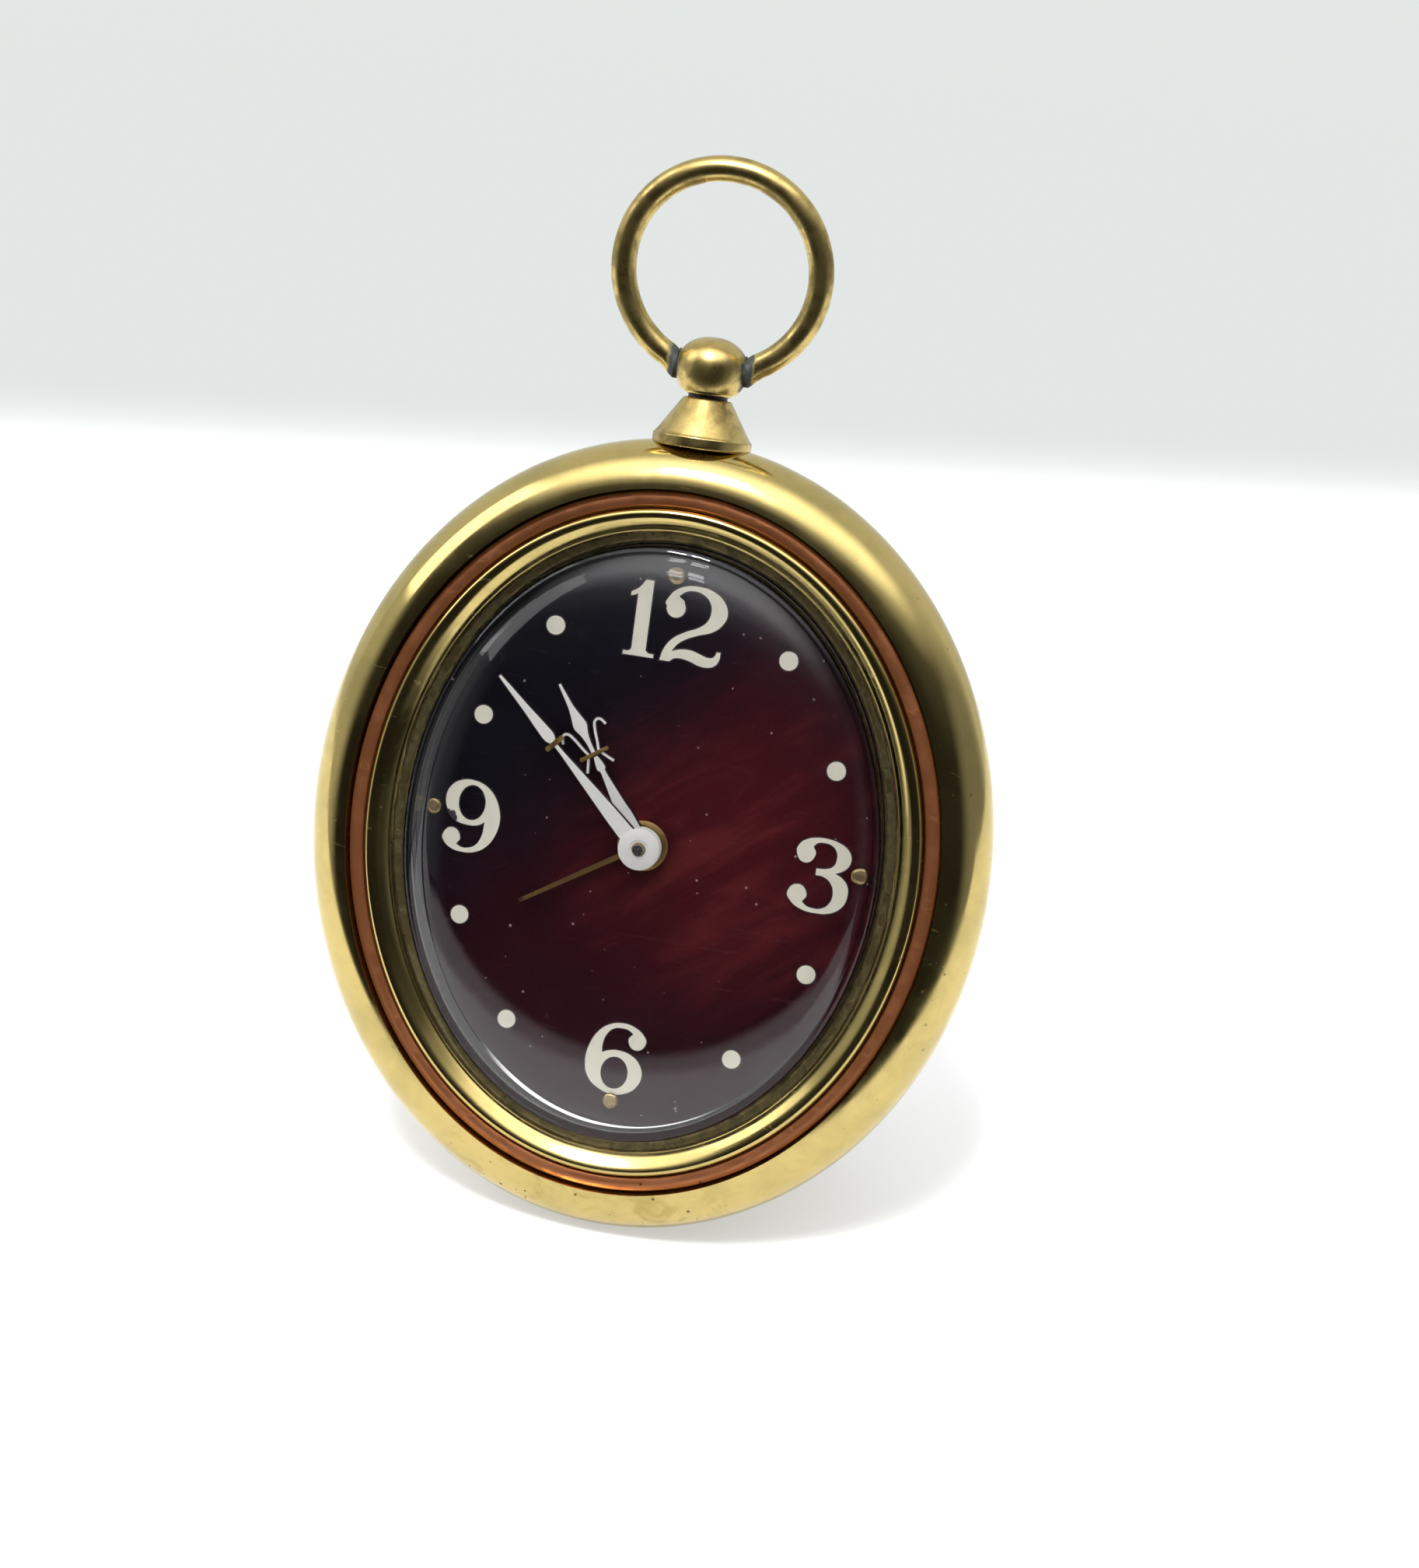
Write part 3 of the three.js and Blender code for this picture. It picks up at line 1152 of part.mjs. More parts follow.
clock.add(piece('bezel_ring', bezelRing(), BRASS));
clock.add(piece('bezel_inlay', bezelInlay(), COPPERY));
clock.add(piece('crystal', crystal(), CLEAR));
clock.add(piece('crystal_retainer', crystalRetainer(), OLD_BRASS));
clock.add(piece('case_body', caseBody(), BRASS));
clock.add(piece('dial', dial(), BURGUNDY));
for (const [hour, x, y] of STUD_PLACES) {
  clock.add(piece(`dial_stud_${hour}`, dialStud(), OLD_BRASS, [x, y, 0]));
}
SCREW_ANGLES.forEach((angle, i) => {
  const [x, y] = screwPlace(angle);
  clock.add(piece(`back_screw_${i + 1}`, backScrew(), STEEL, [x, y, 0], rad(35 + 50 * i)));
});
clock.add(piece('back_cover', backCover(), BRASS));
clock.add(piece('pendant_collar', pendantCollar(), OLD_BRASS));
clock.add(piece('pendant_ball', pendantBall(), OLD_BRASS));
clock.add(piece('bow_ring', bowRing(), OLD_BRASS, [0, BALL_Y, PENDANT_Z]));
clock.add(piece('strut_bracket', strutBracket(), NICKEL));
clock.add(piece('strut_hinge_pin', hingePin(), STEEL));
clock.add(piece('strut_leg', strutLeg(), BRASS));
clock.add(piece('minute_hand', minuteHand(), CREAM, [0, 0, 0], turnOf(MINUTE_BEARING)));
clock.add(piece('hour_hand', hourHand(), CREAM, [0, 0, 0], turnOf(HOUR_BEARING)));
clock.add(piece('alarm_hand', alarmHand(), OLD_BRASS, [0, 0, 0], turnOf(ALARM_BEARING)));

const at = ([x, y], z = 0) => [x, y, z];

clock.add(piece('pillar_plate', pillarPlate(), PLATE_BRASS));
clock.add(piece('rear_plate', rearPlate(), PLATE_BRASS));
PILLARS.forEach((place, i) => clock.add(piece(`pillar_${i + 1}`, pillar(), PLATE_BRASS, at(place))));
clock.add(piece('centre_arbor', centreArbor(), STEEL, [0, 0, 0], CENTRE_TURN));
clock.add(piece('cannon_pinion', cannonPinion(), STEEL, [0, 0, 0], CENTRE_TURN));
clock.add(piece('hand_set_knob', handSetKnob(), NICKEL));
clock.add(piece('minute_wheel', minuteWheel(), PLATE_BRASS, at(MINUTE_AT), MINUTE_TURN));
clock.add(piece('hour_wheel', hourWheel(), PLATE_BRASS, [0, 0, 0], HOUR_TURN));
clock.add(piece('alarm_wheel', alarmWheel(), PLATE_BRASS, [0, 0, 0], turnOf(ALARM_BEARING)));
clock.add(piece('alarm_set_arbor', alarmSetArbor(), STEEL, at(SET_AT), SET_TURN));
clock.add(piece('alarm_set_knob', alarmSetKnob(), NICKEL, at(SET_AT)));

const barrelWall = BARREL_TEETH * BARREL_MODULE / 2 - BARREL_INSET;
const bellWall = BELL_BARREL_TEETH * BELL_MODULE / 2 - BARREL_INSET;
const timeBarrel = openBarrel(BARREL_TEETH, BARREL_MODULE, barrelWall);
const bellBarrel = openBarrel(BELL_BARREL_TEETH, BELL_MODULE, bellWall);
clock.add(piece('time_barrel', timeBarrel, PLATE_BRASS, at(BARREL_AT), BARREL_TURN));
clock.add(piece('time_mainspring', mainspring(barrelWall), STEEL, at(BARREL_AT)));
clock.add(piece('time_key_hub', keyHub(), NICKEL, at(BARREL_AT), 0));
clock.add(piece('time_key_wing', keyWing(), NICKEL, at(BARREL_AT, WING_Z), 0));
clock.add(piece('alarm_barrel', bellBarrel, PLATE_BRASS, at(BELL_KEY_AT)));
clock.add(piece('alarm_mainspring', mainspring(bellWall), STEEL, at(BELL_KEY_AT)));
clock.add(piece('alarm_key_hub', keyHub(), NICKEL, at(BELL_KEY_AT), 0));
clock.add(piece('alarm_key_wing', keyWing(), NICKEL, at(BELL_KEY_AT, WING_Z), 0));

clock.add(piece('third_wheel', thirdWheel(), PLATE_BRASS, at(THIRD_AT), THIRD_TURN));
clock.add(piece('fourth_wheel', fourthWheel(), PLATE_BRASS, at(FOURTH_AT), FOURTH_TURN));
clock.add(piece('escape_wheel', escapeWheel(), PLATE_BRASS, at(ESCAPE_AT), ESCAPE_TURN));
clock.add(piece('pallet_lever', palletLever(), STEEL, at(PALLET_AT), rad(BALANCE_DIR)));
clock.add(piece('balance_wheel', balanceWheel(), PLATE_BRASS, at(BALANCE_AT), rad(20)));
clock.add(piece('hairspring', hairspring(), STEEL, at(BALANCE_AT)));
clock.add(piece('balance_cock', balanceCock(), PLATE_BRASS));
clock.add(piece('cock_screw', cockScrew(), STEEL, at(COCK_FOOT)));
clock.add(piece('regulator_lever', regulatorLever(), STEEL, at(BALANCE_AT), rad(REGULATOR_DIR)));
clock.add(piece('alarm_escape_wheel', bellEscapeWheel(), PLATE_BRASS, at(BELL_AT), BELL_TURN));
clock.add(piece('alarm_hammer', alarmHammer(), STEEL, at(HAMMER_AT), rad(-20)));
clock.add(piece('alarm_stop_button', stopButton(), NICKEL, at(STOP_AT)));

clock.rotation.x = Math.PI / 2 - rad(LEAN);
const stand = new THREE.Group();
stand.add(clock);
stand.updateMatrixWorld(true);
const bounds = new THREE.Box3().setFromObject(stand, true);
stand.position.set(-(bounds.min.x + bounds.max.x) / 2, -(bounds.min.y + bounds.max.y) / 2, -bounds.min.z);

export default stand;
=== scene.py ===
"""Oval brass travel clock, leaned back on its strut on a white table."""

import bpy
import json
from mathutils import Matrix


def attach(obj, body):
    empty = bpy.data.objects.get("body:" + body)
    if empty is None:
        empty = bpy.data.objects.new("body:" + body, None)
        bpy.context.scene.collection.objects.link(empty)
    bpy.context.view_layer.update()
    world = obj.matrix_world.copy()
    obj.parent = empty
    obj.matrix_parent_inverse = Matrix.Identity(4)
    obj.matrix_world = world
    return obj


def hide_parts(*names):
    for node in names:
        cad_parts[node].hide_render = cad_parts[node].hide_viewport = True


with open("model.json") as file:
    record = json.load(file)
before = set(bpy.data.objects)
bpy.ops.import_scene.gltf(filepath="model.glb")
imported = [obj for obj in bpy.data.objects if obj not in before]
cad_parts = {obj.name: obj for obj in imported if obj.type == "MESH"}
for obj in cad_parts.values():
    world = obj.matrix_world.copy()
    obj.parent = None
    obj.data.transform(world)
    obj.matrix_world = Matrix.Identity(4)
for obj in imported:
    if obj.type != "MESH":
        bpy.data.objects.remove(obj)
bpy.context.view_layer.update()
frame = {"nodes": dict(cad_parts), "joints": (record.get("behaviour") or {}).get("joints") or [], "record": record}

import json
import math

import bmesh
import bpy
from mathutils import Matrix, Vector

NODES = frame["nodes"]
JOINTS = {joint["name"]: joint for joint in frame["joints"]}
MM = 0.001


# places

def dial_place():
    """Matrix from the dial's own frame in millimetres (x right, y up, z out) to the row frame."""
    spin = JOINTS["minute_spin"]
    out = Vector(spin["axis"]).normalized()
    side = Vector((1, 0, 0))
    turn = Matrix((side, out.cross(side), out)).transposed().to_4x4()
    return Matrix.Translation(spin["pos_m"]) @ turn @ Matrix.Scale(MM, 4)


DIAL = dial_place()


def on_dial(x, y, z):
    return DIAL @ Vector((x, y, z))


def joint_place(name):
    """A joint's point in the dial's frame."""
    return DIAL.inverted() @ Vector(JOINTS[name]["pos_m"])


# node trees

def feed(node, values):
    """Links or sets a node's inputs, by name or number; a plain colour is made opaque."""
    for key, value in values.items():
        socket = node.inputs[key]
        if isinstance(value, bpy.types.NodeSocket):
            node.id_data.links.new(value, socket)
        else:
            socket.default_value = (*value, 1) if socket.type == "RGBA" else value


def add_node(tree, kind, values=None, **settings):
    node = tree.nodes.new(kind)
    for key, value in settings.items():
        setattr(node, key, value)
    feed(node, values or {})
    return node


def split(tree, vector):
    """X, Y and Z of a vector."""
    return add_node(tree, "ShaderNodeSeparateXYZ", {"Vector": vector}).outputs


def calc(tree, operation, *values):
    """One step of arithmetic on values, each a socket or a number."""
    return add_node(tree, "ShaderNodeMath", dict(enumerate(values)), operation=operation).outputs[0]


def times(tree, *values):
    return calc(tree, "MULTIPLY", *values)


def plus(tree, *values):
    return calc(tree, "ADD", *values)


def distance(tree, vector, point):
    node = add_node(tree, "ShaderNodeVectorMath", {0: vector, 1: point}, operation="DISTANCE")
    return node.outputs["Value"]


def span(tree, value, low, high, out_low=0.0, out_high=1.0):
    """A value carried from one range to another, smooth and clamped."""
    return add_node(tree, "ShaderNodeMapRange", {
        "Value": value, "From Min": low, "From Max": high, "To Min": out_low, "To Max": out_high,
    }, interpolation_type="SMOOTHSTEP").outputs["Result"]


def ramp(tree, value, stops, interpolation="EASE"):
    """Colour ramp from (position, colour or grey) stops, fed by a value."""
    node = add_node(tree, "ShaderNodeValToRGB", {"Fac": value})
    node.color_ramp.interpolation = interpolation
    elements = node.color_ramp.elements
    while len(elements) < len(stops):
        elements.new(0.5)
    for element, (position, colour) in zip(elements, stops):
        element.position = position
        element.color = (*(colour if isinstance(colour, tuple) else (colour,) * 3), 1)
    return node.outputs["Color"]


def mix(tree, factor, first, second, kind="MIX"):
    """Mix of two colours, each a socket or a plain colour."""
    return add_node(tree, "ShaderNodeMix", {0: factor, 6: first, 7: second},
                    data_type="RGBA", blend_type=kind).outputs[2]


def noise(tree, vector, scale, detail=4.0, roughness=0.55, distortion=0.0):
    return add_node(tree, "ShaderNodeTexNoise", {
        "Vector": vector, "Scale": scale, "Detail": detail, "Roughness": roughness,
        "Distortion": distortion}).outputs["Fac"]


def cells(tree, vector, scale, **settings):
    """Random cells: how far the middle or edge of the nearest one is, and its colour."""
    return add_node(tree, "ShaderNodeTexVoronoi", {"Vector": vector, "Scale": scale}, **settings).outputs


def specks(tree, vector, scale, share, size):
    """Round specks in a share of the cells, each of a random size."""
    cell = cells(tree, vector, scale)
    chance = add_node(tree, "ShaderNodeSeparateColor", {"Color": cell["Color"]}).outputs
    chosen = calc(tree, "LESS_THAN", chance[0], share)
    return times(tree, chosen, calc(tree, "LESS_THAN", cell["Distance"], times(tree, chance[1], size)))


def bump(tree, height, strength, depth):
    """Normals of a surface with small heights, up to a depth in millimetres."""
    return add_node(tree, "ShaderNodeBump", {
        "Height": height, "Strength": strength, "Distance": depth * MM}).outputs["Normal"]


def dial_coordinates(tree):
    """Millimetres in the dial's frame, from Object coordinates."""
    back = DIAL.inverted()
    return add_node(tree, "ShaderNodeMapping", {
        "Vector": add_node(tree, "ShaderNodeTexCoord").outputs["Object"], "Location": back.to_translation(),
        "Rotation": back.to_euler(), "Scale": back.to_scale()}).outputs["Vector"]


# wear, as shared groups

def group_tree(kind, name, first, sizes, outputs, result="Float"):
    """A node group: a vector or a shape and sizes going in, values or a shape coming out."""
    tree = bpy.data.node_groups.new(name, kind)
    tree.interface.new_socket(first, in_out="INPUT", socket_type="NodeSocket" + first)
    for label, value in sizes.items():
        tree.interface.new_socket(label, in_out="INPUT", socket_type="NodeSocketFloat").default_value = value
    for label in outputs:
        tree.interface.new_socket(label, in_out="OUTPUT", socket_type="NodeSocket" + result)
    return tree, add_node(tree, "NodeGroupInput").outputs, add_node(tree, "NodeGroupOutput")


def build_wear_group():
    """Clouds of tarnish, small pits and a fine grain, from a vector in millimetres."""
    tree, given, sink = group_tree(
        "ShaderNodeTree", "metal_wear", "Vector",
        {"Cloud size": 6.0, "Pit size": 0.9, "Pit share": 0.12}, ["Clouds", "Pits", "Grain"])
    where = given["Vector"]
    clouds = noise(tree, where, calc(tree, "DIVIDE", 1.0, given["Cloud size"]), 5.0, 0.62, 0.4)
    pit_scale = calc(tree, "DIVIDE", 1.0, given["Pit size"])
    feed(sink, {"Clouds": span(tree, clouds, 0.38, 0.68),
                "Pits": specks(tree, where, pit_scale, given["Pit share"], 0.22),
                "Grain": noise(tree, where, 14.0, 3.0, 0.7)})
    return tree


def build_scratch_group():
    """Thin random scratches in three directions, from a vector in millimetres."""
    tree, given, sink = group_tree(
        "ShaderNodeTree", "fine_scratches", "Vector", {"Spacing": 1.6, "Share": 0.35}, ["Scratches"])
    total = 0.0
    for turn, narrow in ((0.5, 0.12), (-0.9, 0.09), (1.9, 0.15)):
        place = add_node(tree, "ShaderNodeMapping", {
            "Vector": given["Vector"], "Rotation": (0.3 * turn, 0.2, turn), "Scale": (narrow, 1.0, 1.0),
        }).outputs["Vector"]
        scale = calc(tree, "DIVIDE", 1.0, given["Spacing"])
        cell = cells(tree, place, scale, feature="DISTANCE_TO_EDGE")
        line = span(tree, cell["Distance"], 0.0, 0.02, 1.0, 0.0)
        kept = calc(tree, "LESS_THAN", noise(tree, place, 0.9, 2.0), given["Share"])
        total = calc(tree, "MAXIMUM", total, times(tree, line, kept))
    feed(sink, {"Scratches": total})
    return tree


WEAR = build_wear_group()
SCRATCHES = build_scratch_group()


def use_group(tree, group, vector, **values):
    values = {label.replace("_", " ").capitalize(): value for label, value in values.items()}
    return add_node(tree, "ShaderNodeGroup", {"Vector": vector, **values}, node_tree=group).outputs


# materials

BRASS = (0.575, 0.445, 0.17)
BRASS_STAIN = (0.38, 0.315, 0.12)
PIT_DARK = (0.05, 0.04, 0.018)
DRIP_BROWN = (0.34, 0.26, 0.075)
# lacquer burgundy: darker at the edge as painted shade, lighter in the middle as a painted pool of light
WINE_SHADED_EDGE = (0.026, 0.0035, 0.0078)
WINE_LIT_MIDDLE = (0.058, 0.006, 0.0098)
WINE_STREAK = (0.105, 0.016, 0.017)
WINE_FOOT = (0.030, 0.009, 0.014)
NEAR_BLACK = (0.006, 0.0055, 0.011)
DUST = (0.36, 0.28, 0.27)
CRUST = (0.026, 0.033, 0.030)
FLAKE_AT = (-20.4, -0.45, 0.06)
FLAKE_DARK = (0.05, 0.035, 0.04)


def new_material(name):
    material = bpy.data.materials.new(name)
    material.use_nodes = True
    tree = material.node_tree
    return material, tree, tree.nodes["Principled BSDF"]


def worn_metal(name, colour, stain, roughness, cloud_size, clouds=0.5, pit_size=1.2, pit_share=0.1,
               metallic=1.0, grain=0.12):
    """Metal with cloudy tarnish, pits and fine scratches."""
    material, tree, shader = new_material(name)
    where = dial_coordinates(tree)
    wear = use_group(tree, WEAR, where, cloud_size=cloud_size, pit_size=pit_size, pit_share=pit_share)
    marks = use_group(tree, SCRATCHES, where, spacing=2.2, share=0.4)["Scratches"]
    base = mix(tree, times(tree, wear["Clouds"], clouds), colour, stain)
    base = mix(tree, times(tree, wear["Pits"], 0.8), base, tuple(c * 0.25 for c in stain))
    rough = span(tree, wear["Clouds"], 0.0, 1.0, roughness * 0.85, roughness * 1.35)
    height = calc(tree, "SUBTRACT", times(tree, wear["Grain"], grain), plus(tree, wear["Pits"], marks))
    feed(shader, {"Base Color": base, "Metallic": metallic, "Normal": bump(tree, height, 0.12, 0.02),
                  "Roughness": plus(tree, rough, times(tree, marks, 0.18))})
    return material


def polished_brass():
    """Bezel brass: bright, a little stained, with drips and pits low down and at the right."""
    material, tree, shader = new_material("polished_brass")
    where = dial_coordinates(tree)
    wear = use_group(tree, WEAR, where, cloud_size=9.0, pit_size=0.9, pit_share=0.3)
    marks = use_group(tree, SCRATCHES, where, spacing=3.4, share=0.34)["Scratches"]
    axes = split(tree, where)
    low = span(tree, axes["Y"], -31.0, -37.5)
    right = span(tree, axes["X"], 14.0, 32.0, 0.0, 0.4)
    pits = times(tree, wear["Pits"], calc(tree, "MAXIMUM", low, right))
    drips = times(tree, span(tree, noise(tree, where, 0.22, 5.0, 0.7, 1.2), 0.5, 0.62),
                  calc(tree, "MULTIPLY_ADD", low, 0.5, 0.12))
    base = mix(tree, times(tree, wear["Clouds"], 0.55), BRASS, BRASS_STAIN)
    base = mix(tree, drips, base, DRIP_BROWN)
    base = mix(tree, times(tree, pits, 0.9), base, PIT_DARK)
    rough = plus(tree, span(tree, wear["Clouds"], 0.0, 1.0, 0.10, 0.19), times(tree, marks, 0.14))
    height = calc(tree, "SUBTRACT", times(tree, wear["Grain"], 0.07),
                  plus(tree, pits, times(tree, marks, 0.2)))
    feed(shader, {"Base Color": base, "Metallic": 1.0, "Normal": bump(tree, height, 0.12, 0.02),
                  "Roughness": plus(tree, rough, times(tree, pits, 0.3))})
    return material


def clear_acrylic():
    """Crystal: clear and glossy, with a few fine scratches."""
    material, tree, shader = new_material("clear_acrylic")
    marks = use_group(tree, SCRATCHES, dial_coordinates(tree), spacing=4.5, share=0.36)["Scratches"]
    feed(shader, {"Base Color": (0.97, 0.96, 0.975), "Transmission Weight": 1.0, "IOR": 1.41,
                  "Roughness": plus(tree, times(tree, marks, 0.12), 0.006),
                  "Normal": bump(tree, marks, 0.012, 0.01)})
    return material


def dial_lacquer():
    """Burgundy lacquer, near black at the upper left, with reddish streaks and dust, lighter in the middle as a
    painted pool of light and darker towards the edge as painted shade.
    """
    material, tree, shader = new_material("dial_lacquer")
    where = dial_coordinates(tree)
    axes = split(tree, where)
    # how far a place lies towards the upper left, with an uneven border
    corner = calc(tree, "SUBTRACT", axes["Y"], times(tree, axes["X"], 1.1))
    corner = plus(tree, corner, times(tree, noise(tree, where, 0.09, 3.0, 0.6, 0.6), 14.0))
    slanted = add_node(tree, "ShaderNodeMapping", {
        "Vector": where, "Rotation": (0, 0, math.radians(36)), "Scale": (17.0, 4.5, 4.5),
    }, vector_type="TEXTURE").outputs["Vector"]
    streaks = span(tree, noise(tree, slanted, 1.0, 5.0, 0.6, 0.9), 0.42, 0.66)
    # painted light: the burgundy lightens towards a spot right of the middle (painted pool of light) and darkens
    # towards the edge (painted shade)
    middle = span(tree, distance(tree, where, (8.0, 1.0, 0.0)), 22.0, 4.0)
    base = mix(tree, middle, WINE_SHADED_EDGE, WINE_LIT_MIDDLE)
    base = mix(tree, times(tree, streaks, middle), base, WINE_STREAK)
    base = mix(tree, span(tree, corner, 6.0, 34.0), base, NEAR_BLACK)
    base = mix(tree, span(tree, axes["Y"], -10.0, -26.0, 0.0, 0.55), base, WINE_FOOT)
    base = mix(tree, times(tree, specks(tree, where, 0.75, 0.6, 0.11), 0.8), base, DUST)
    feed(shader, {"Base Color": base, "Roughness": 0.22, "Specular IOR Level": 0.12})
    return material


def pendant_metal():
    """Satin brass of the bow and ball, blue black where the pins enter the ball."""
    material, tree, shader = new_material("pendant_brass")
    where = dial_coordinates(tree)
    clouds = use_group(tree, WEAR, where, cloud_size=2.6)["Clouds"]
    axes = split(tree, where)
    across = plus(tree, calc(tree, "ABSOLUTE", axes["X"]), times(tree, noise(tree, where, 0.9), 0.9))
    near_pin = times(tree, span(tree, across, 3.35, 3.75), span(tree, across, 4.9, 4.4))
    at_height = times(tree, span(tree, axes["Y"], 50.6, 49.6), span(tree, axes["Y"], 44.8, 45.6))
    crust = times(tree, near_pin, at_height)
    colour = mix(tree, clouds, (0.56, 0.42, 0.155), (0.25, 0.19, 0.07))
    rough = calc(tree, "MULTIPLY_ADD", clouds, 0.16, 0.25)
    feed(shader, {"Base Color": mix(tree, crust, colour, CRUST),
                  "Metallic": calc(tree, "SUBTRACT", 1.0, crust),
                  "Roughness": calc(tree, "MULTIPLY_ADD", crust, 0.35, rough),
                  "Normal": bump(tree, noise(tree, where, 1.6, 3.0), 0.10, 0.04)})
    return material


def printed_paint(name, colour, stain, roughness):
    """Printed or filled paint, a little uneven, with a flake missing beside the 9."""
    material, tree, shader = new_material(name)
    where = dial_coordinates(tree)
    patches = span(tree, noise(tree, where, 1.1, 4.0, 0.6), 0.45, 0.8, 0.0, 0.5)
    paint = mix(tree, patches, colour, stain)
    ragged = calc(tree, "MULTIPLY_ADD", noise(tree, where, 1.6, 4.0, 0.7), 1.2,
                  distance(tree, where, FLAKE_AT))
    feed(shader, {
        "Base Color": mix(tree, span(tree, ragged, 1.4, 1.28), paint, FLAKE_DARK),
        "Roughness": span(tree, noise(tree, where, 6.0), 0.3, 0.7, roughness * 0.8, roughness * 1.2),
        "Normal": bump(tree, noise(tree, where, 9.0, 2.0), 0.08, 0.02)})
    return material


# colour, stain, roughness and size of the clouds of tarnish
METALS = {
    "case_brass": ((0.56, 0.41, 0.17), BRASS_STAIN, 0.24, 7.0),
    "inlay_copper": ((0.32, 0.115, 0.045), (0.20, 0.075, 0.03), 0.38, 4.0),
    "rehaut_brass": ((0.28, 0.215, 0.095), (0.10, 0.095, 0.05), 0.42, 1.8),
    "stud_brass": ((0.50, 0.38, 0.17), (0.34, 0.26, 0.12), 0.4, 0.8),
    "cover_brass": ((0.58, 0.43, 0.18), (0.42, 0.31, 0.13), 0.34, 12.0),
    "screw_steel": ((0.50, 0.50, 0.50), (0.30, 0.28, 0.25), 0.3, 2.0),
    "hinge_nickel": ((0.62, 0.60, 0.55), (0.40, 0.37, 0.32), 0.28, 4.0),
    "strut_brass": ((0.57, 0.42, 0.17), (0.40, 0.30, 0.12), 0.32, 8.0),
    "alarm_hand_brass": ((0.40, 0.26, 0.09), (0.24, 0.15, 0.06), 0.42, 1.5),
    "movement_brass": ((0.66, 0.50, 0.22), (0.50, 0.37, 0.16), 0.3, 5.0),
    "arbor_steel": ((0.52, 0.53, 0.55), (0.34, 0.33, 0.32), 0.25, 2.0),
    "spring_steel": ((0.12, 0.15, 0.24), (0.09, 0.09, 0.12), 0.3, 2.0),
    "control_nickel": ((0.66, 0.65, 0.61), (0.46, 0.43, 0.37), 0.24, 2.5),
    "bar_gold": ((0.62, 0.42, 0.14), (0.45, 0.30, 0.10), 0.35, 1.0),
}
UNUSUAL_WEAR = {
    "inlay_copper": {"clouds": 0.6, "pit_share": 0.05, "metallic": 0.75},
    "rehaut_brass": {"clouds": 0.9, "pit_size": 0.5, "pit_share": 0.3, "grain": 0.5},
    "stud_brass": {"pit_share": 0.05},
}
# colour, stain and roughness
PAINTS = {
    "hand_white": ((0.97, 0.965, 0.91), (0.88, 0.86, 0.77), 0.6),
    "numeral_cream": ((0.93, 0.91, 0.75), (0.84, 0.81, 0.64), 0.5),
    # outline_dark is painted shadow round the numerals and hour dots; it also edges the hands and colours the
    # collar's dark core
    "outline_dark": ((0.018, 0.008, 0.010), (0.03, 0.014, 0.014), 0.5),
}
MATERIALS = {
    "bezel_brass": polished_brass(), "crystal_acrylic": clear_acrylic(),
    "dial_lacquer": dial_lacquer(), "pendant_brass": pendant_metal(),
    **{name: worn_metal(name, *looks, **UNUSUAL_WEAR.get(name, {})) for name, looks in METALS.items()},
    **{name: printed_paint(name, *looks) for name, looks in PAINTS.items()},
}


def dress_cad_nodes():
    """Every CAD node that stays gets its slot's material."""
    slots = {entry["node"]: entry["material_slot"] for entry in frame["record"]["subparts"]}
    for name, node in NODES.items():
        node.data.materials.clear()
        node.data.materials.append(MATERIALS[slots[name]])


# shapes, in millimetres on the dial

SLIM_FROM = 28.0
OVAL_RISE = 5.7
OVAL_STEPS = 240
NO_RADIUS = 1e-4


def oval_height(r):
    """Half-height of the oval of half-width r, as the case has it."""
    return r + OVAL_RISE + 0.13 * min(max(SLIM_FROM - r, 0), 3.8)


def ellipse(cx, cy, rx, ry, count):
    turns = [2 * math.pi * i / count for i in range(count)]
    return [(cx + rx * math.cos(a), cy + ry * math.sin(a)) for a in turns]


def circle(cx, cy, radius, count=48):
    return ellipse(cx, cy, radius, radius, count)


def arc_points(cx, cy, radius, start, end, steps):
    angles = [math.radians(start + (end - start) * i / steps) for i in range(steps + 1)]
    return [(cx + radius * math.cos(a), cy + radius * math.sin(a)) for a in angles]


def rounded(corners, steps):
    """Points of a path whose corners (x, y, radius) are rounded; the ends stay sharp."""
    points = []
    last = len(corners) - 1
    for i, (x, y, radius) in enumerate(corners):
        here = Vector((x, y))
        if radius == 0 or i in (0, last):
            points.append((x, y))
            continue
        before = Vector(corners[i - 1][:2]) - here
        after = Vector(corners[i + 1][:2]) - here
        reach = min(radius, before.length * 0.49, after.length * 0.49)
        start = here + before.normalized() * reach
        end = here + after.normalized() * reach
        for k in range(steps + 1):
            t = k / steps
            p = start * (1 - t) ** 2 + here * 2 * t * (1 - t) + end * t ** 2
            points.append((p.x, p.y))
    return points


def smooth_path(points, steps):
    """A smooth curve through all the points."""
    last = len(points) - 1
    result = []
    for i in range(last):
        p0, p1, p2, p3 = (Vector(points[min(max(i + k, 0), last)]) for k in (-1, 0, 1, 2))
        for k in range(steps):
            t = k / steps
            result.append(0.5 * ((2 * p1) + (p2 - p0) * t + (2 * p0 - 5 * p1 + 4 * p2 - p3) * t * t
                                 + (3 * p1 - p0 - 3 * p2 + p3) * t ** 3))
    result.append(Vector(points[-1]))
    return [tuple(p) for p in result]


def mesh_of(shell, name):
    """The built shell as a mesh."""
    mesh = bpy.data.meshes.new(name)
    shell.to_mesh(mesh)
    shell.free()
    return mesh


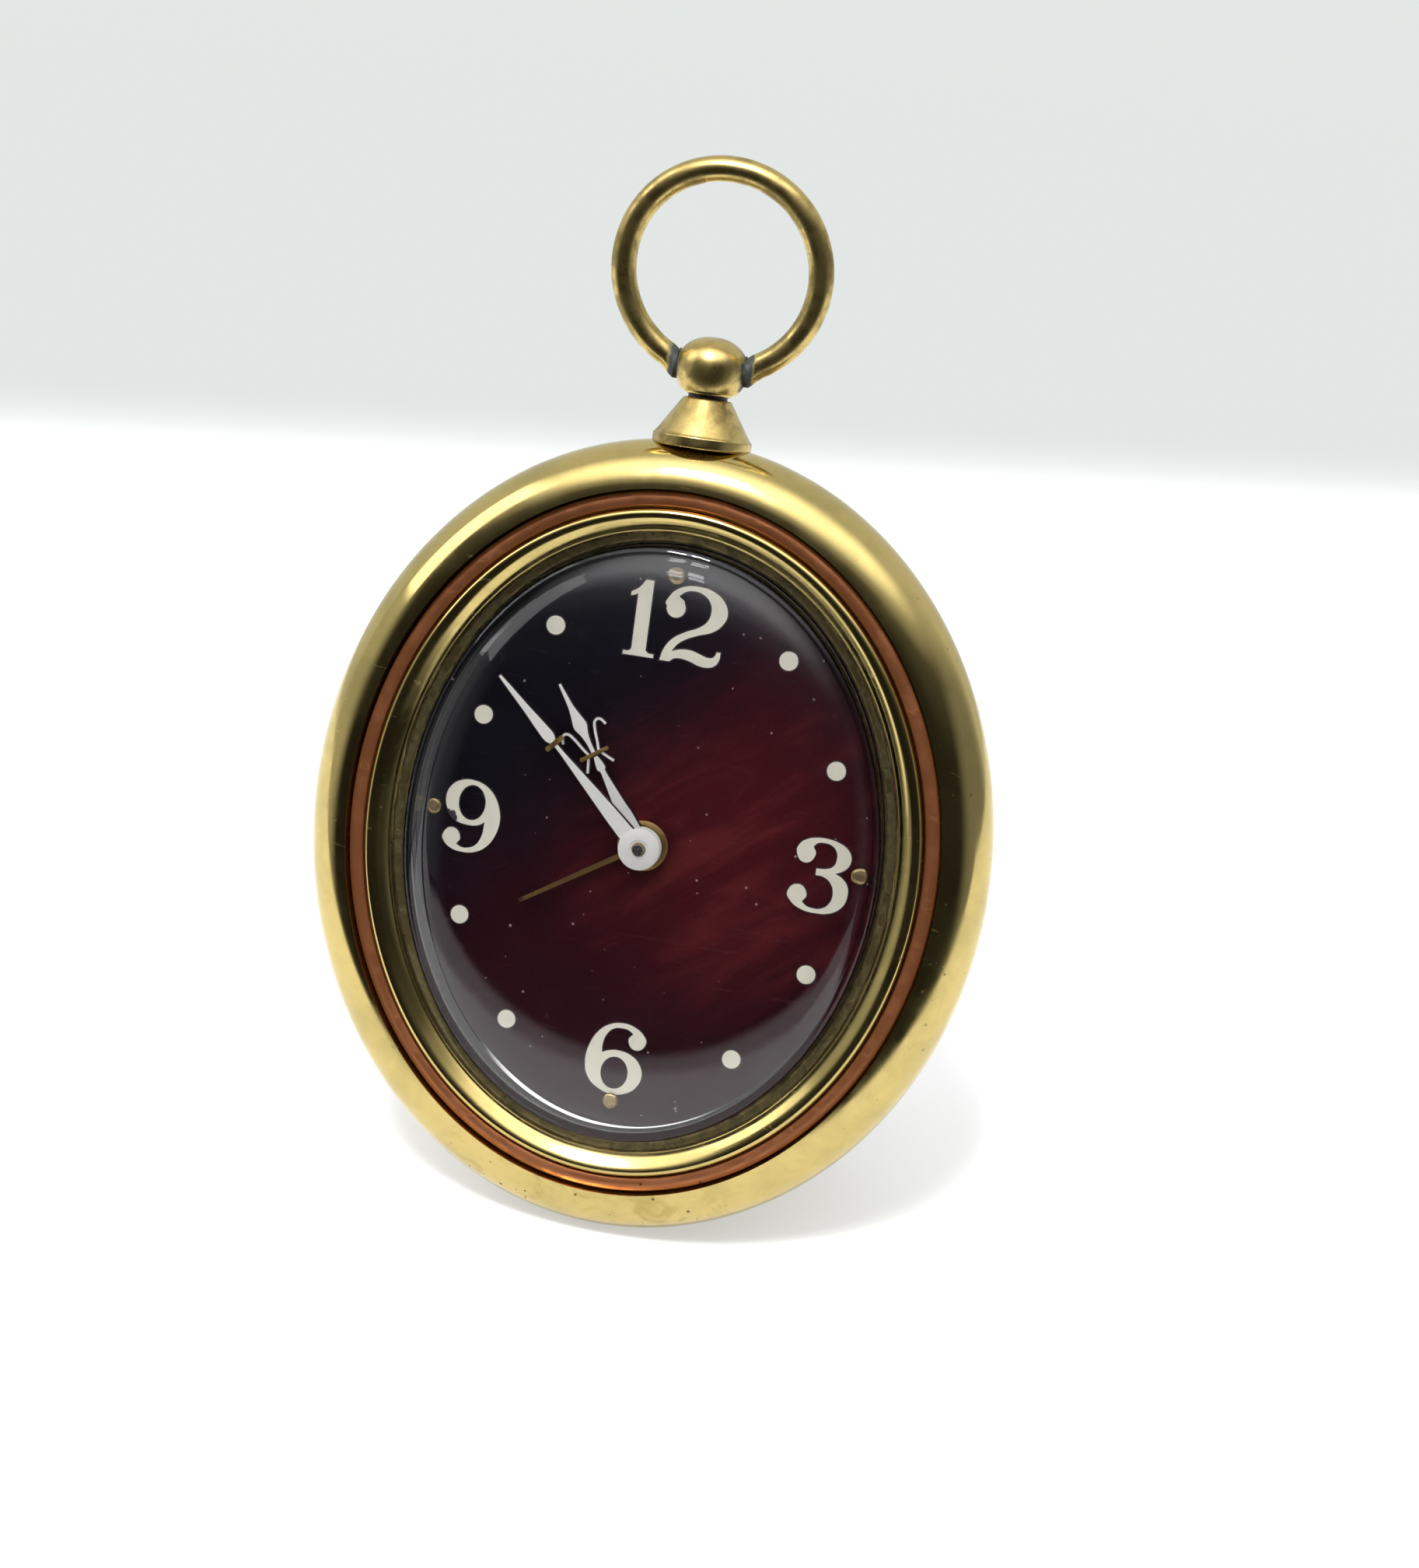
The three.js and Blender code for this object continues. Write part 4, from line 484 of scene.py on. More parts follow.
def rings_to_mesh(name, rings, ring_closed=False, capped=False, band_materials=None):
    """A mesh of quads between rings of points, each ring with the same count."""
    shell = bmesh.new()
    rows = [[shell.verts.new(p) for p in ring] for ring in rings]
    count = len(rows[0])
    for i in range(len(rows) if ring_closed else len(rows) - 1):
        upper = rows[(i + 1) % len(rows)]
        for j in range(count):
            k = (j + 1) % count
            face = shell.faces.new((rows[i][j], rows[i][k], upper[k], upper[j]))
            if band_materials:
                face.material_index = band_materials[i]
    if capped:
        shell.faces.new(rows[0])
        shell.faces.new(rows[-1])
    bmesh.ops.remove_doubles(shell, verts=shell.verts, dist=1e-5)
    bmesh.ops.recalc_face_normals(shell, faces=shell.faces)
    return mesh_of(shell, name)


def oval_ring(half_width, half_height, z):
    return [(x, y, z) for x, y in ellipse(0, 0, half_width, half_height, OVAL_STEPS)]


def swept_oval(name, section, **options):
    """A section of (half-width, z) carried round the oval and closed."""
    rings = [oval_ring(r, oval_height(r), z) for r, z in section]
    return rings_to_mesh(name, rings, ring_closed=True, **options)


def turned(name, profile, steps, centre=(0, 0), **options):
    """A profile of (radius, z) turned about an axis along the dial's z."""
    rings = [[(x, y, z) for x, y in circle(*centre, max(r, NO_RADIUS), steps)] for r, z in profile]
    return rings_to_mesh(name, rings, **options)


def upright(name, profile, z, steps=128):
    """A profile of (radius, y) turned about an upright axis at x = 0."""
    rings = [[(x, y, out) for x, out in circle(0, z, max(r, NO_RADIUS), steps)] for r, y in profile]
    return rings_to_mesh(name, rings)


def tube(name, path, radii, sides=40):
    """A round wire along a path in the plane z = constant."""
    rings = []
    for i, (point, radius) in enumerate(zip(path, radii)):
        before, after = Vector(path[max(i - 1, 0)]), Vector(path[min(i + 1, len(path) - 1)])
        along = (after - before).normalized()
        side = Vector((-along.y, along.x, 0))
        turns = [2 * math.pi * j / sides for j in range(sides)]
        rings.append([Vector(point) + side * radius * math.cos(a) + Vector((0, 0, radius * math.sin(a)))
                      for a in turns])
    return rings_to_mesh(name, rings, capped=True)


def thicken(shell, faces, height):
    """Raises faces to a plate and gives the corners of its top."""
    grown = bmesh.ops.extrude_face_region(shell, geom=faces)
    top = [v for v in grown["geom"] if isinstance(v, bmesh.types.BMVert)]
    bmesh.ops.translate(shell, verts=top, vec=(0, 0, height))
    bmesh.ops.recalc_face_normals(shell, faces=shell.faces)
    return top


def flat_plate(name, outline, z0, z1, bevel=0.0):
    """A plate with an outline of points, from z0 up to z1."""
    shell = bmesh.new()
    top = thicken(shell, [shell.faces.new([shell.verts.new((x, y, z0)) for x, y in outline])], z1 - z0)
    if bevel:
        rim = [e for e in shell.edges if all(v in top for v in e.verts) and len(e.link_faces) == 2]
        bmesh.ops.bevel(shell, geom=rim, offset=bevel, segments=2, affect="EDGES")
    return mesh_of(shell, name)


def pierced_plate(name, outline, holes, z0, z1):
    """A flat plate with holes through it."""
    shell = bmesh.new()
    edges = []
    for loop in [outline] + holes:
        points = [shell.verts.new((x, y, z0)) for x, y in loop]
        edges += [shell.edges.new(pair) for pair in zip(points, points[1:] + points[:1])]
    bmesh.ops.triangle_fill(shell, use_beauty=True, use_dissolve=False, edges=edges)
    thicken(shell, shell.faces[:], z1 - z0)
    return mesh_of(shell, name)


def joined(name, parts):
    """One mesh from (mesh, material index) pairs."""
    shell = bmesh.new()
    for mesh, index in parts:
        before = len(shell.faces)
        shell.from_mesh(mesh)
        shell.faces.ensure_lookup_table()
        for face in shell.faces[before:]:
            face.material_index = index
        bpy.data.meshes.remove(mesh)
    return mesh_of(shell, name)


def put(name, data):
    """A new object in the scene."""
    thing = bpy.data.objects.new(name, data)
    bpy.context.scene.collection.objects.link(thing)
    return thing


def frozen(holder, name):
    """The holder's finished shape as a plain mesh; the holder goes."""
    bpy.context.view_layer.update()
    shape = holder.evaluated_get(bpy.context.evaluated_depsgraph_get())
    mesh = bpy.data.meshes.new_from_object(shape)
    bpy.data.objects.remove(holder)
    mesh.name = name
    return mesh


def add_piece(name, mesh, slots, replaces=(), body="case", sharp=35):
    """A finished piece from a mesh in the dial's frame, riding on its body."""
    mesh.transform(DIAL)
    mesh.shade_smooth()
    mesh.set_sharp_from_angle(angle=math.radians(sharp))
    for slot in slots:
        mesh.materials.append(MATERIALS[slot])
    piece = put(name, mesh)
    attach(piece, body)
    if replaces:
        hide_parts(*replaces)


# case

ROLL = (29.5, -0.8, 5.2)


def make_bezel():
    """Fat half-round roll, groove for the inlay, inner bead and a dull sloping lip."""
    roll = arc_points(*ROLL, -90, 85.6, 56)
    groove = rounded([roll[-1] + (0,), (29.88, 3.95, 0.25), (29.84, 3.02, 0.12), (28.04, 3.02, 0.12),
                      (28.02, 3.6, 0)], 4)[1:]
    bead = smooth_path([(28.02, 3.5), (27.98, 3.92), (27.76, 4.18), (27.4, 4.28), (26.95, 4.16),
                        (26.4, 3.83), (25.85, 3.46), (25.5, 3.16), (25.34, 2.85)], 5)[1:]
    lip = rounded([bead[-1] + (0,), (25.26, 2.6, 0.12), (24.5, 2.34, 0.12), (24.3, 2.02, 0)], 4)[1:]
    rear = [(25.5, 2.0), (25.5, -3.7), (26.8, -3.7), (26.8, -6.0)]
    section = roll + groove + bead + lip + rear
    dull = [1 if 24.2 < r < 25.4 and z > 1.5 else 0 for r, z in section]
    mesh = swept_oval("bezel", section, band_materials=dull)
    add_piece("bezel", mesh, ["bezel_brass", "rehaut_brass"], ["bezel_ring"], sharp=40)


def make_inlay():
    section = rounded([(29.66, 3.05, 0), (29.66, 3.62, 0.2), (28.95, 3.82, 1.2), (28.24, 3.62, 0.2),
                       (28.24, 3.05, 0)], 5)
    mesh = swept_oval("inlay", section)
    add_piece("inlay", mesh, ["inlay_copper"], ["bezel_inlay"])


def make_crystal():
    """Domed crystal with a thick rolled shoulder and a thin flange under the lip."""
    wide, tall = 24.0, oval_height(24.0)
    flange, flange_tall = 25.2, oval_height(25.2)
    wide_in, tall_in = 22.85, tall - 1.15
    outside, inside = 4.5, 3.3

    def dome(share, base):
        return base + 2.53 * (1 - 0.3 * share ** 2 - 0.7 * share ** 7)

    shares = [i / 28 for i in range(1, 28)]
    rings = [(NO_RADIUS, NO_RADIUS, dome(0, outside))]
    rings += [(s * wide * 0.965, s * tall * 0.965, dome(s * 0.965, outside)) for s in shares]
    rings += [(wide + 0.9 * (math.cos(a) - 1), tall + 0.9 * (math.cos(a) - 1), 3.72 + 0.9 * math.sin(a))
              for a in (math.radians(86 - 86 * i / 8) for i in range(9))]
    rings += [(wide, tall, 1.7), (flange, flange_tall, 1.7), (flange, flange_tall, 1.2),
              (wide_in, tall_in, 1.2), (wide_in, tall_in, 2.9)]
    rings += [(s * wide_in * 0.985, s * tall_in * 0.985, dome(s, inside)) for s in reversed(shares)]
    rings.append((NO_RADIUS, NO_RADIUS, dome(0, inside)))
    mesh = rings_to_mesh("crystal_dome", [oval_ring(*ring) for ring in rings])
    add_piece("crystal_dome", mesh, ["crystal_acrylic"], ["crystal"], sharp=50)


def make_retainer():
    section = [(24.1, 0.3), (25.2, 0.3), (25.2, 0.9), (24.1, 0.9)]
    mesh = swept_oval("retainer", section)
    add_piece("retainer", mesh, ["rehaut_brass"], ["crystal_retainer"])


# pendant and bow

_, BALL_Y, PENDANT_Z = joint_place("bow_swing")


def make_collar():
    """Straight cone with a plain rim, and a dark core up to the ball."""
    profile = rounded([
        (0, 39.72, 0), (4.82, 39.72, 0.15), (4.9, 39.9, 0.1), (4.9, 40.74, 0.1), (4.7, 40.92, 0.1),
        (2.42, 44.42, 0.2), (2.3, 44.53, 0.08), (0, 44.53, 0),
    ], 5)
    core = [(0, 44.3), (1.95, 44.3), (1.95, 45.0), (0, 45.0)]
    mesh = joined("collar", [(upright("c", profile, PENDANT_Z), 0), (upright("c", core, PENDANT_Z, 48), 1)])
    add_piece("collar", mesh, ["pendant_brass", "outline_dark"], ["pendant_collar"])


def make_ball():
    """Squat ball, flatter above than below, with a thin skirt at its foot."""
    skirt = [(0, 44.86), (2.16, 44.86), (2.32, 44.92), (2.4, 45.06), (2.4, 45.2), (2.36, 45.27)]
    body = []
    for i in range(45):
        t = math.radians(-39 + 129 * i / 44)
        body.append((3.55 * math.cos(t) ** 0.9, BALL_Y + (2.9 if t > 0 else 3.85) * math.sin(t)))
    add_piece("ball", upright("ball", skirt + body, PENDANT_Z), ["pendant_brass"],
              ["pendant_ball"])


def make_bow():
    """Round wire ring that leans forward, with its ends turned in to pins at the ball."""
    radius, wire, rise, join, lean = 9.67, 1.225, 9.25, 28, 10.8
    neck = [(1.7, 0, 0.8), (3.1, 0, 0.85), (3.3, 0, 1.5), (3.52, 0.0, 1.52), (3.74, 0.08, 1.3),
            (3.95, 0.22, wire)]
    path = [(x, y, 0) for x, y, _ in neck]
    radii = [r for _, _, r in neck]
    for i in range(145):
        a = math.radians(join + (360 - 2 * join) * i / 144 - 90)
        path.append((radius * math.cos(a), rise + radius * math.sin(a), 0))
        radii.append(wire)
    path += [(-x, y, 0) for x, y, _ in reversed(neck)]
    radii += [r for _, _, r in reversed(neck)]
    mesh = tube("bow", path, radii)
    mesh.transform(Matrix.Translation((0, BALL_Y, PENDANT_Z)) @ Matrix.Rotation(math.radians(lean), 4, "X"))
    add_piece("bow", mesh, ["pendant_brass"], ["bow_ring"], "bow")


# dial print

# heights of the cream paint, and of the slightly wider dark plate under it, which is painted shadow round the
# raised paint
PAINT_LEVELS = (0.03, 0.09)
SHADOW_RIM_LEVELS = (0.005, 0.025)
SHADOW_RIM_MARGIN = 0.14

# Closed outlines of points; a third value of 1 marks a corner
ONE = [
    (-3.3, 26.35, 1), (-2.5, 26.35, 1), (-2.5, 19.35, 1), (-2.2, 19.12), (-1.65, 19.08, 1), (-1.65, 18.7, 1),
    (-4.75, 18.7, 1), (-4.75, 19.08, 1), (-4.2, 19.12), (-3.95, 19.35, 1), (-3.95, 24.9, 1), (-4.25, 24.72),
    (-4.65, 24.6, 1), (-4.65, 24.98, 1), (-3.9, 25.5),
]
TWO = [
    (0.75, 24.55), (0.2, 24.95), (-0.5, 24.8), (-0.98, 24.2), (-0.75, 25.15), (-0.1, 25.85),
    (0.9, 26.3), (2.0, 26.42), (3.5, 26.15), (4.7, 25.3), (5.2, 24.1), (4.9, 23.1), (4.0, 22.2),
    (2.5, 21.6), (1.2, 20.95), (0.5, 20.35), (0.1, 19.7, 1), (1.0, 20.0), (2.0, 20.05), (3.0, 19.78),
    (3.7, 19.58), (4.2, 19.62), (4.5, 19.9), (4.6, 20.25, 1), (5.0, 20.25, 1), (4.95, 19.5),
    (4.6, 18.9), (4.0, 18.62), (3.0, 18.64), (2.0, 18.96), (1.0, 19.1), (0.4, 18.98), (0.0, 18.65, 1),
    (-1.0, 18.65, 1), (-0.72, 19.8), (0, 20.9), (1.2, 21.75), (2.6, 22.45), (3.3, 23.15), (3.55, 24.0),
    (3.4, 24.9), (2.7, 25.62), (1.6, 25.9), (0.7, 25.68), (0.15, 25.2, 1),
]
TWO_BALL = (0.0, 24.0, 0.95, 0.95)
THREE = [
    (15.33, 1.9), (15.6, 2.75), (16.35, 3.3), (17.15, 3.54), (18.0, 3.6), (19.35, 3.4), (20.45, 2.8),
    (20.9, 1.9), (20.65, 1.05), (20.05, 0.5), (19.5, 0.24, 1), (20.2, -0.1), (20.85, -0.8), (21.05, -1.75),
    (20.7, -2.9), (19.65, -3.78), (18.0, -4.05), (16.5, -3.85), (15.4, -3.2), (14.97, -2.4), (15.95, -1.4),
    (16.93, -2.35), (16.55, -3.1, 1), (17.0, -3.45), (17.6, -3.6), (18.6, -3.5), (19.3, -2.9),
    (19.55, -1.9), (19.2, -0.85), (18.4, -0.28), (17.55, -0.2, 1), (17.55, 0.45, 1), (18.6, 0.58),
    (19.2, 0.92), (19.45, 1.7), (19.3, 2.5), (18.75, 3.0), (18.0, 3.14), (17.3, 3.0), (16.95, 2.6, 1),
    (17.27, 1.85), (16.3, 0.87),
]
SIX = [
    (0.4, -18.75), (1.6, -19.0), (2.55, -19.65), (2.92, -20.45), (2.0, -21.36), (1.1, -20.45),
    (1.5, -19.68, 1), (0.95, -19.35), (0.3, -19.28), (-0.5, -19.42), (-1.15, -20.05), (-1.5, -21.1),
    (-1.5, -22.15, 1), (-0.7, -21.8), (0.3, -21.68), (1.7, -22.05), (2.6, -22.9), (2.92, -24.0),
    (2.6, -25.1), (1.7, -25.98), (0.15, -26.38), (-1.4, -26.0), (-2.6, -25.0), (-3.1, -23.4), (-2.85, -21.5),
    (-2.1, -20.0), (-1.0, -19.08),
]
SIX_COUNTER = (0.05, -24.1, 1.42, 1.72)
NINE = [
    (-18.3, 3.6), (-16.9, 3.2), (-15.8, 2.2), (-15.2, 0.9), (-15.05, -0.2), (-15.35, -1.7),
    (-16.1, -2.95), (-17.2, -3.7), (-18.6, -3.93), (-20.0, -3.65), (-20.75, -3.0), (-20.9, -2.5),
    (-19.95, -1.55), (-19.0, -2.5), (-19.35, -3.2, 1), (-18.75, -3.45), (-18.1, -3.42), (-17.35, -3.05),
    (-16.8, -2.1), (-16.6, -0.5, 1), (-17.2, -0.9), (-18.5, -1.05), (-19.8, -0.7), (-20.65, 0.25),
    (-20.95, 1.6), (-20.5, 2.75), (-19.6, 3.4),
]
NINE_COUNTER = (-18.15, 1.28, 1.42, 1.82)


def curve_outline(curve, points):
    spline = curve.splines.new("BEZIER")
    spline.bezier_points.add(len(points) - 1)
    spline.use_cyclic_u = True
    for knot, point in zip(spline.bezier_points, points):
        knot.co = (point[0], point[1], 0)
        kind = "VECTOR" if len(point) > 2 else "AUTO"
        knot.handle_left_type = kind
        knot.handle_right_type = kind


def print_mesh(name, outlines, levels, grow=0.0):
    """A thin plate from curved outlines, holes included; grow widens it on all sides."""
    curve = bpy.data.curves.new(name, "CURVE")
    curve.dimensions = "2D"
    curve.fill_mode = "BOTH"
    curve.resolution_u = 10
    curve.extrude = (levels[1] - levels[0]) / 2
    curve.offset = grow
    for points in outlines:
        curve_outline(curve, points)
    mesh = frozen(put(name, curve), name)
    mesh.transform(Matrix.Translation((0, 0, (levels[0] + levels[1]) / 2)))
    return mesh


def make_numerals():
    """12, 3, 6 and 9 in cream paint over a slightly wider dark plate, which is a painted shadow round the raised
    paint.
    """
    figures = {
        "twelve": [[ONE], [TWO], [ellipse(*TWO_BALL, 12)]],
        "three": [[THREE]],
        "six": [[SIX, ellipse(*SIX_COUNTER, 12)]],
        "nine": [[NINE, ellipse(*NINE_COUNTER, 12)]],
    }
    for name, groups in figures.items():
        parts = []
        for outlines in groups:
            parts.append((print_mesh(name, outlines, PAINT_LEVELS), 0))
            # the wider dark plate is painted shadow round the numeral
            parts.append((print_mesh(name, outlines, SHADOW_RIM_LEVELS, SHADOW_RIM_MARGIN), 1))
        name = "numeral_" + name
        add_piece(name, joined(name, parts), ["numeral_cream", "outline_dark"])


# hands

def bowed_outline(stations):
    """Hand outline in x, y from (distance, half-width) stations, smooth between them."""
    curve = smooth_path([(w, u) for u, w in stations], 6)
    return [(w, u) for w, u in curve] + [(-w, u) for w, u in reversed(curve)]


def strip_outline(points, width):
    """Outline of a strip of even width along a smooth path."""
    path = smooth_path(points, 6)
    sides = []
    for sign in (1, -1):
        side = []
        for i, p in enumerate(path):
            a, b = Vector(path[max(i - 1, 0)]), Vector(path[min(i + 1, len(path) - 1)])
            along = (b - a).normalized()
            side.append((p[0] - sign * along.y * width / 2, p[1] + sign * along.x * width / 2))
        sides.append(side)
    return sides[0] + sides[1][::-1]


def wider(stations, extra):
    """The same stations with a margin at their sides and at the tip."""
    return [(u + (extra if i == len(stations) - 1 else 0), w + extra) for i, (u, w) in enumerate(stations)]


# degrees clockwise from the 12
MINUTE_BEARING = 313
HOUR_BEARING = 325.6
ALARM_BEARING = 237
HAND_SLOTS = ["hand_white", "outline_dark", "bar_gold"]


def add_hand(name, parts, bearing, slots, body):
    """One hand from its parts, drawn upright and then turned to its bearing."""
    mesh = joined(name + "_fine", parts)
    mesh.transform(Matrix.Rotation(-math.radians(bearing), 4, "Z"))
    add_piece(name + "_fine", mesh, slots, [name], body)


def make_minute_hand():
    z = 2.85
    blade = [(1.2, 0.85), (4, 0.74), (6.5, 0.58), (9.5, 0.38), (12.2, 0.2), (13.3, 0.2)]
    point = [(13.45, 0.2), (14.2, 0.55), (15.5, 0.52), (18, 0.34), (21.7, 0.14), (21.95, 0.04)]
    hub = [(0.5, z + 0.05), (2.0, z + 0.05), (2.1, z + 0.15), (2.1, z + 0.38), (1.98, z + 0.45),
           (0.98, z + 0.45), (0.92, z + 0.4), (0.5, z + 0.38)]
    tube_end = [(0.52, z + 0.2), (0.72, z + 0.2), (0.7, z + 0.44), (0.52, z + 0.44)]
    bar = [(-1.0, 13.15), (1.0, 13.15), (1.12, 13.4), (1.0, 13.65), (-1.0, 13.65), (-1.12, 13.4)]
    parts = [
        (flat_plate("m", bowed_outline(wider(blade, 0.13)), z, z + 0.2), 1),
        (flat_plate("m", bowed_outline(wider(point, 0.13)), z, z + 0.2), 1),
        (flat_plate("m", bowed_outline(blade), z + 0.2, z + 0.27), 0),
        (flat_plate("m", bowed_outline(point), z + 0.2, z + 0.27), 0),
        (flat_plate("m", bar, z - 0.02, z + 0.38, 0.06), 2),
        (turned("m", hub, 64, ring_closed=True), 0),
        (turned("m", tube_end, 48, ring_closed=True), 2),
    ]
    add_hand("minute_hand", parts, MINUTE_BEARING, HAND_SLOTS, "centre")


def make_hour_hand():
    z = 1.9
    blade = [(1.2, 0.92), (3.4, 0.8), (4.8, 0.6), (6.5, 0.42), (8.4, 0.24), (8.75, 0.42), (9.3, 0.38),
             (10.1, 0.2)]
    point = [(10.5, 0.2), (11.6, 0.22), (12.6, 0.4), (13.5, 0.68), (14.6, 0.46), (15.8, 0.25), (17.9, 0.13),
             (18.1, 0.04)]
    petal = [(0.55, 10.5), (0.85, 11.4), (1.15, 12.5), (1.45, 13.2), (1.85, 13.42), (2.2, 13.2),
             (2.42, 12.6)]
    tail = [(0.7, 10.3), (1.05, 9.7), (1.5, 8.95)]
    bar = [(-1.5, 10.2), (1.5, 10.2), (1.62, 10.4), (1.5, 10.6), (-1.5, 10.6), (-1.62, 10.4)]
    parts = [
        (turned("h", [(1.1, z), (2.1, z), (2.1, z + 0.3), (1.1, z + 0.3)], 64, ring_closed=True), 0),
        (flat_plate("h", bar, z - 0.02, z + 0.38, 0.06), 2),
    ]
    for stations in (blade, point):
        parts.append((flat_plate("h", bowed_outline(wider(stations, 0.13)), z, z + 0.18), 1))
        parts.append((flat_plate("h", bowed_outline(stations), z + 0.18, z + 0.26), 0))
    for curl in (petal, tail):
        for sign in (1, -1):
            path = [(sign * x, y) for x, y in curl]
            parts.append((flat_plate("h", strip_outline(path, 0.46), z, z + 0.17), 1))
            parts.append((flat_plate("h", strip_outline(path, 0.24), z + 0.17, z + 0.24), 0))
    add_hand("hour_hand", parts, HOUR_BEARING, HAND_SLOTS, "hour")


def make_alarm_hand():
    z = 0.95
    hub = [(1.65, z), (2.45, z), (2.55, z + 0.1), (2.55, z + 0.22), (2.4, z + 0.3), (1.65, z + 0.3)]
    parts = [
        (turned("a", hub, 64, ring_closed=True), 0),
        (flat_plate("a", bowed_outline([(2.2, 0.27), (13.3, 0.2), (13.5, 0.08)]), z, z + 0.22, 0.04), 0),
    ]
    add_hand("alarm_hand", parts, ALARM_BEARING, ["alarm_hand_brass"], "alarm_disc")


# dots and studs of the hours

def run_tree(name, tree, values):
    """The tree's result as a plain mesh in the dial's frame."""
    holder = put(name, bpy.data.meshes.new(name))
    modifier = holder.modifiers.new(name, "NODES")
    modifier.node_group = tree
    sockets = {item.name: item.identifier for item in tree.interface.items_tree if item.in_out == "INPUT"}
    for label, value in values.items():
        modifier[sockets[label]] = value
    return frozen(holder, name)


def hour_dot_tree():
    """Round dots at the eight plain hours, on an ellipse: every twelfth of a turn but the quarters."""
    tree, given, sink = group_tree("GeometryNodeTree", "hour_dots", "Geometry", {
        "Half width": 19.83, "Half height": 25.57, "Dot radius": 0.95, "Middle": 0.06, "Thickness": 0.06,
    }, ["Geometry"], "Geometry")
    tree.is_modifier = True
    index = add_node(tree, "GeometryNodeInputIndex").outputs[0]
    angle = times(tree, index, math.pi / 6)
    sine, cosine = calc(tree, "SINE", angle), calc(tree, "COSINE", angle)
    across = calc(tree, "POWER", calc(tree, "DIVIDE", sine, given["Half width"]), 2.0)
    along = calc(tree, "POWER", calc(tree, "DIVIDE", cosine, given["Half height"]), 2.0)
    reach = calc(tree, "INVERSE_SQRT", plus(tree, across, along))
    spot = add_node(tree, "ShaderNodeCombineXYZ", {
        "X": times(tree, sine, reach), "Y": times(tree, cosine, reach), "Z": given["Middle"]})
    points = add_node(tree, "GeometryNodePoints", {"Count": 12, "Position": spot.outputs[0]})
    quarter = calc(tree, "LESS_THAN", calc(tree, "MODULO", index, 3.0), 0.5)
    plain_hours = add_node(tree, "GeometryNodeDeleteGeometry", {
        "Geometry": points.outputs[0], "Selection": quarter})
    dot = add_node(tree, "GeometryNodeMeshCylinder", {
        "Vertices": 32, "Radius": given["Dot radius"], "Depth": given["Thickness"]})
    copies = add_node(tree, "GeometryNodeInstanceOnPoints", {
        "Points": plain_hours.outputs[0], "Instance": dot.outputs["Mesh"]})
    real = add_node(tree, "GeometryNodeRealizeInstances", {"Geometry": copies.outputs[0]})
    feed(sink, {"Geometry": real.outputs[0]})
    return tree


def make_hour_dots():
    """Cream dots on slightly wider dark ones, which are painted shadow round the raised paint."""
    tree = hour_dot_tree()
    paint = run_tree("dots", tree, {})
    # painted shadow: a wider dark dot under each cream one
    edge = run_tree("dots", tree, {"Dot radius": 1.1, "Middle": 0.015, "Thickness": 0.02})
    add_piece("hour_dots", joined("hour_dots", [(paint, 0), (edge, 1)]), ["numeral_cream", "outline_dark"])


def make_studs():
    profile = rounded([(0, 0.05, 0), (0.8, 0.05, 0.04), (0.82, 0.5, 0.06), (0.62, 0.66, 0.08),
                       (0.5, 0.6, 0.06), (0, 0.62, 0)], 4)
    for label, x, y in (("12", -0.3, 27.15), ("3", 21.9, 0.45), ("6", 0.1, -27.05), ("9", -22.1, 0.4)):
        add_piece("stud_" + label, turned("stud", profile, 48, (x, y)), ["stud_brass"],
                  ["dial_stud_" + label])


# back of the case

def fluted(radius, count, depth, steps=10):
    """A round outline with shallow flutes."""
    outline = []
    for a in (2 * math.pi * i / (count * steps) for i in range(count * steps)):
        reach = radius - depth * (0.5 + 0.5 * math.cos(count * a)) ** 2
        outline.append((reach * math.cos(a), reach * math.sin(a)))
    return outline


def moved(mesh, x, y, turn=0.0):
    mesh.transform(Matrix.Translation((x, y, 0)) @ Matrix.Rotation(math.radians(turn), 4, "Z"))
    return mesh


KEY_PLACES = {"time": (-10.9119, 6.3), "alarm": (11.4, 6.6)}
ALARM_SET = (1.5077, 10.088)
STOP_PLACE = (0, 23)
RATE_PLACE = (16.6901, -11.2858)
SCREW_PLACE = (17.2385, 26.556)
# levels behind the dial: where controls start, and the pin of the folding wings
CONTROL_Z = -21.6
WING_Z = -24.8


def make_drum():
    section = rounded([(30.4, -6.3, 0), (30.4, -18.9, 1.3), (29.2, -20.0, 0.7), (26.4, -20.0, 0.1),
                       (26.4, -18.8, 0.1), (29.2, -18.8, 0), (29.2, -7.5, 0), (27.0, -7.5, 0),
                       (27.0, -6.3, 0)], 6)
    add_piece("case_drum", swept_oval("case_drum", section), ["case_brass"], ["case_body"], sharp=45)


def make_back_cover():
    """Flat plate with its holes: screws, keys, setting arbors, alarm stop and rate lever."""
    outline = ellipse(0, 0, 29.2, oval_height(29.2), OVAL_STEPS)
    holes = [circle(a * SCREW_PLACE[0], b * SCREW_PLACE[1], 1.0) for a in (1, -1) for b in (1, -1)]
    holes += [circle(*place, 1.2) for place in KEY_PLACES.values()]
    holes += [circle(0, 0, 1.0), circle(*ALARM_SET, 1.0), circle(*STOP_PLACE, 1.2)]
    holes.append(arc_points(*RATE_PLACE, 5.95, -8, 38, 16) + arc_points(*RATE_PLACE, 4.45, 38, -8, 16))
    plate = pierced_plate("back_cover_fine", outline, holes, -20.3, -21.2)
    rim = swept_oval("rim", rounded([(28.5, -21.0, 0), (28.5, -21.3, 0.05), (28.9, -21.3, 0.15),
                                     (29.2, -21.0, 0.15), (29.2, -20.6, 0)], 4))
    add_piece("back_cover_fine", joined("back_cover_fine", [(plate, 0), (rim, 0)]), ["cover_brass"],
              ["back_cover"])


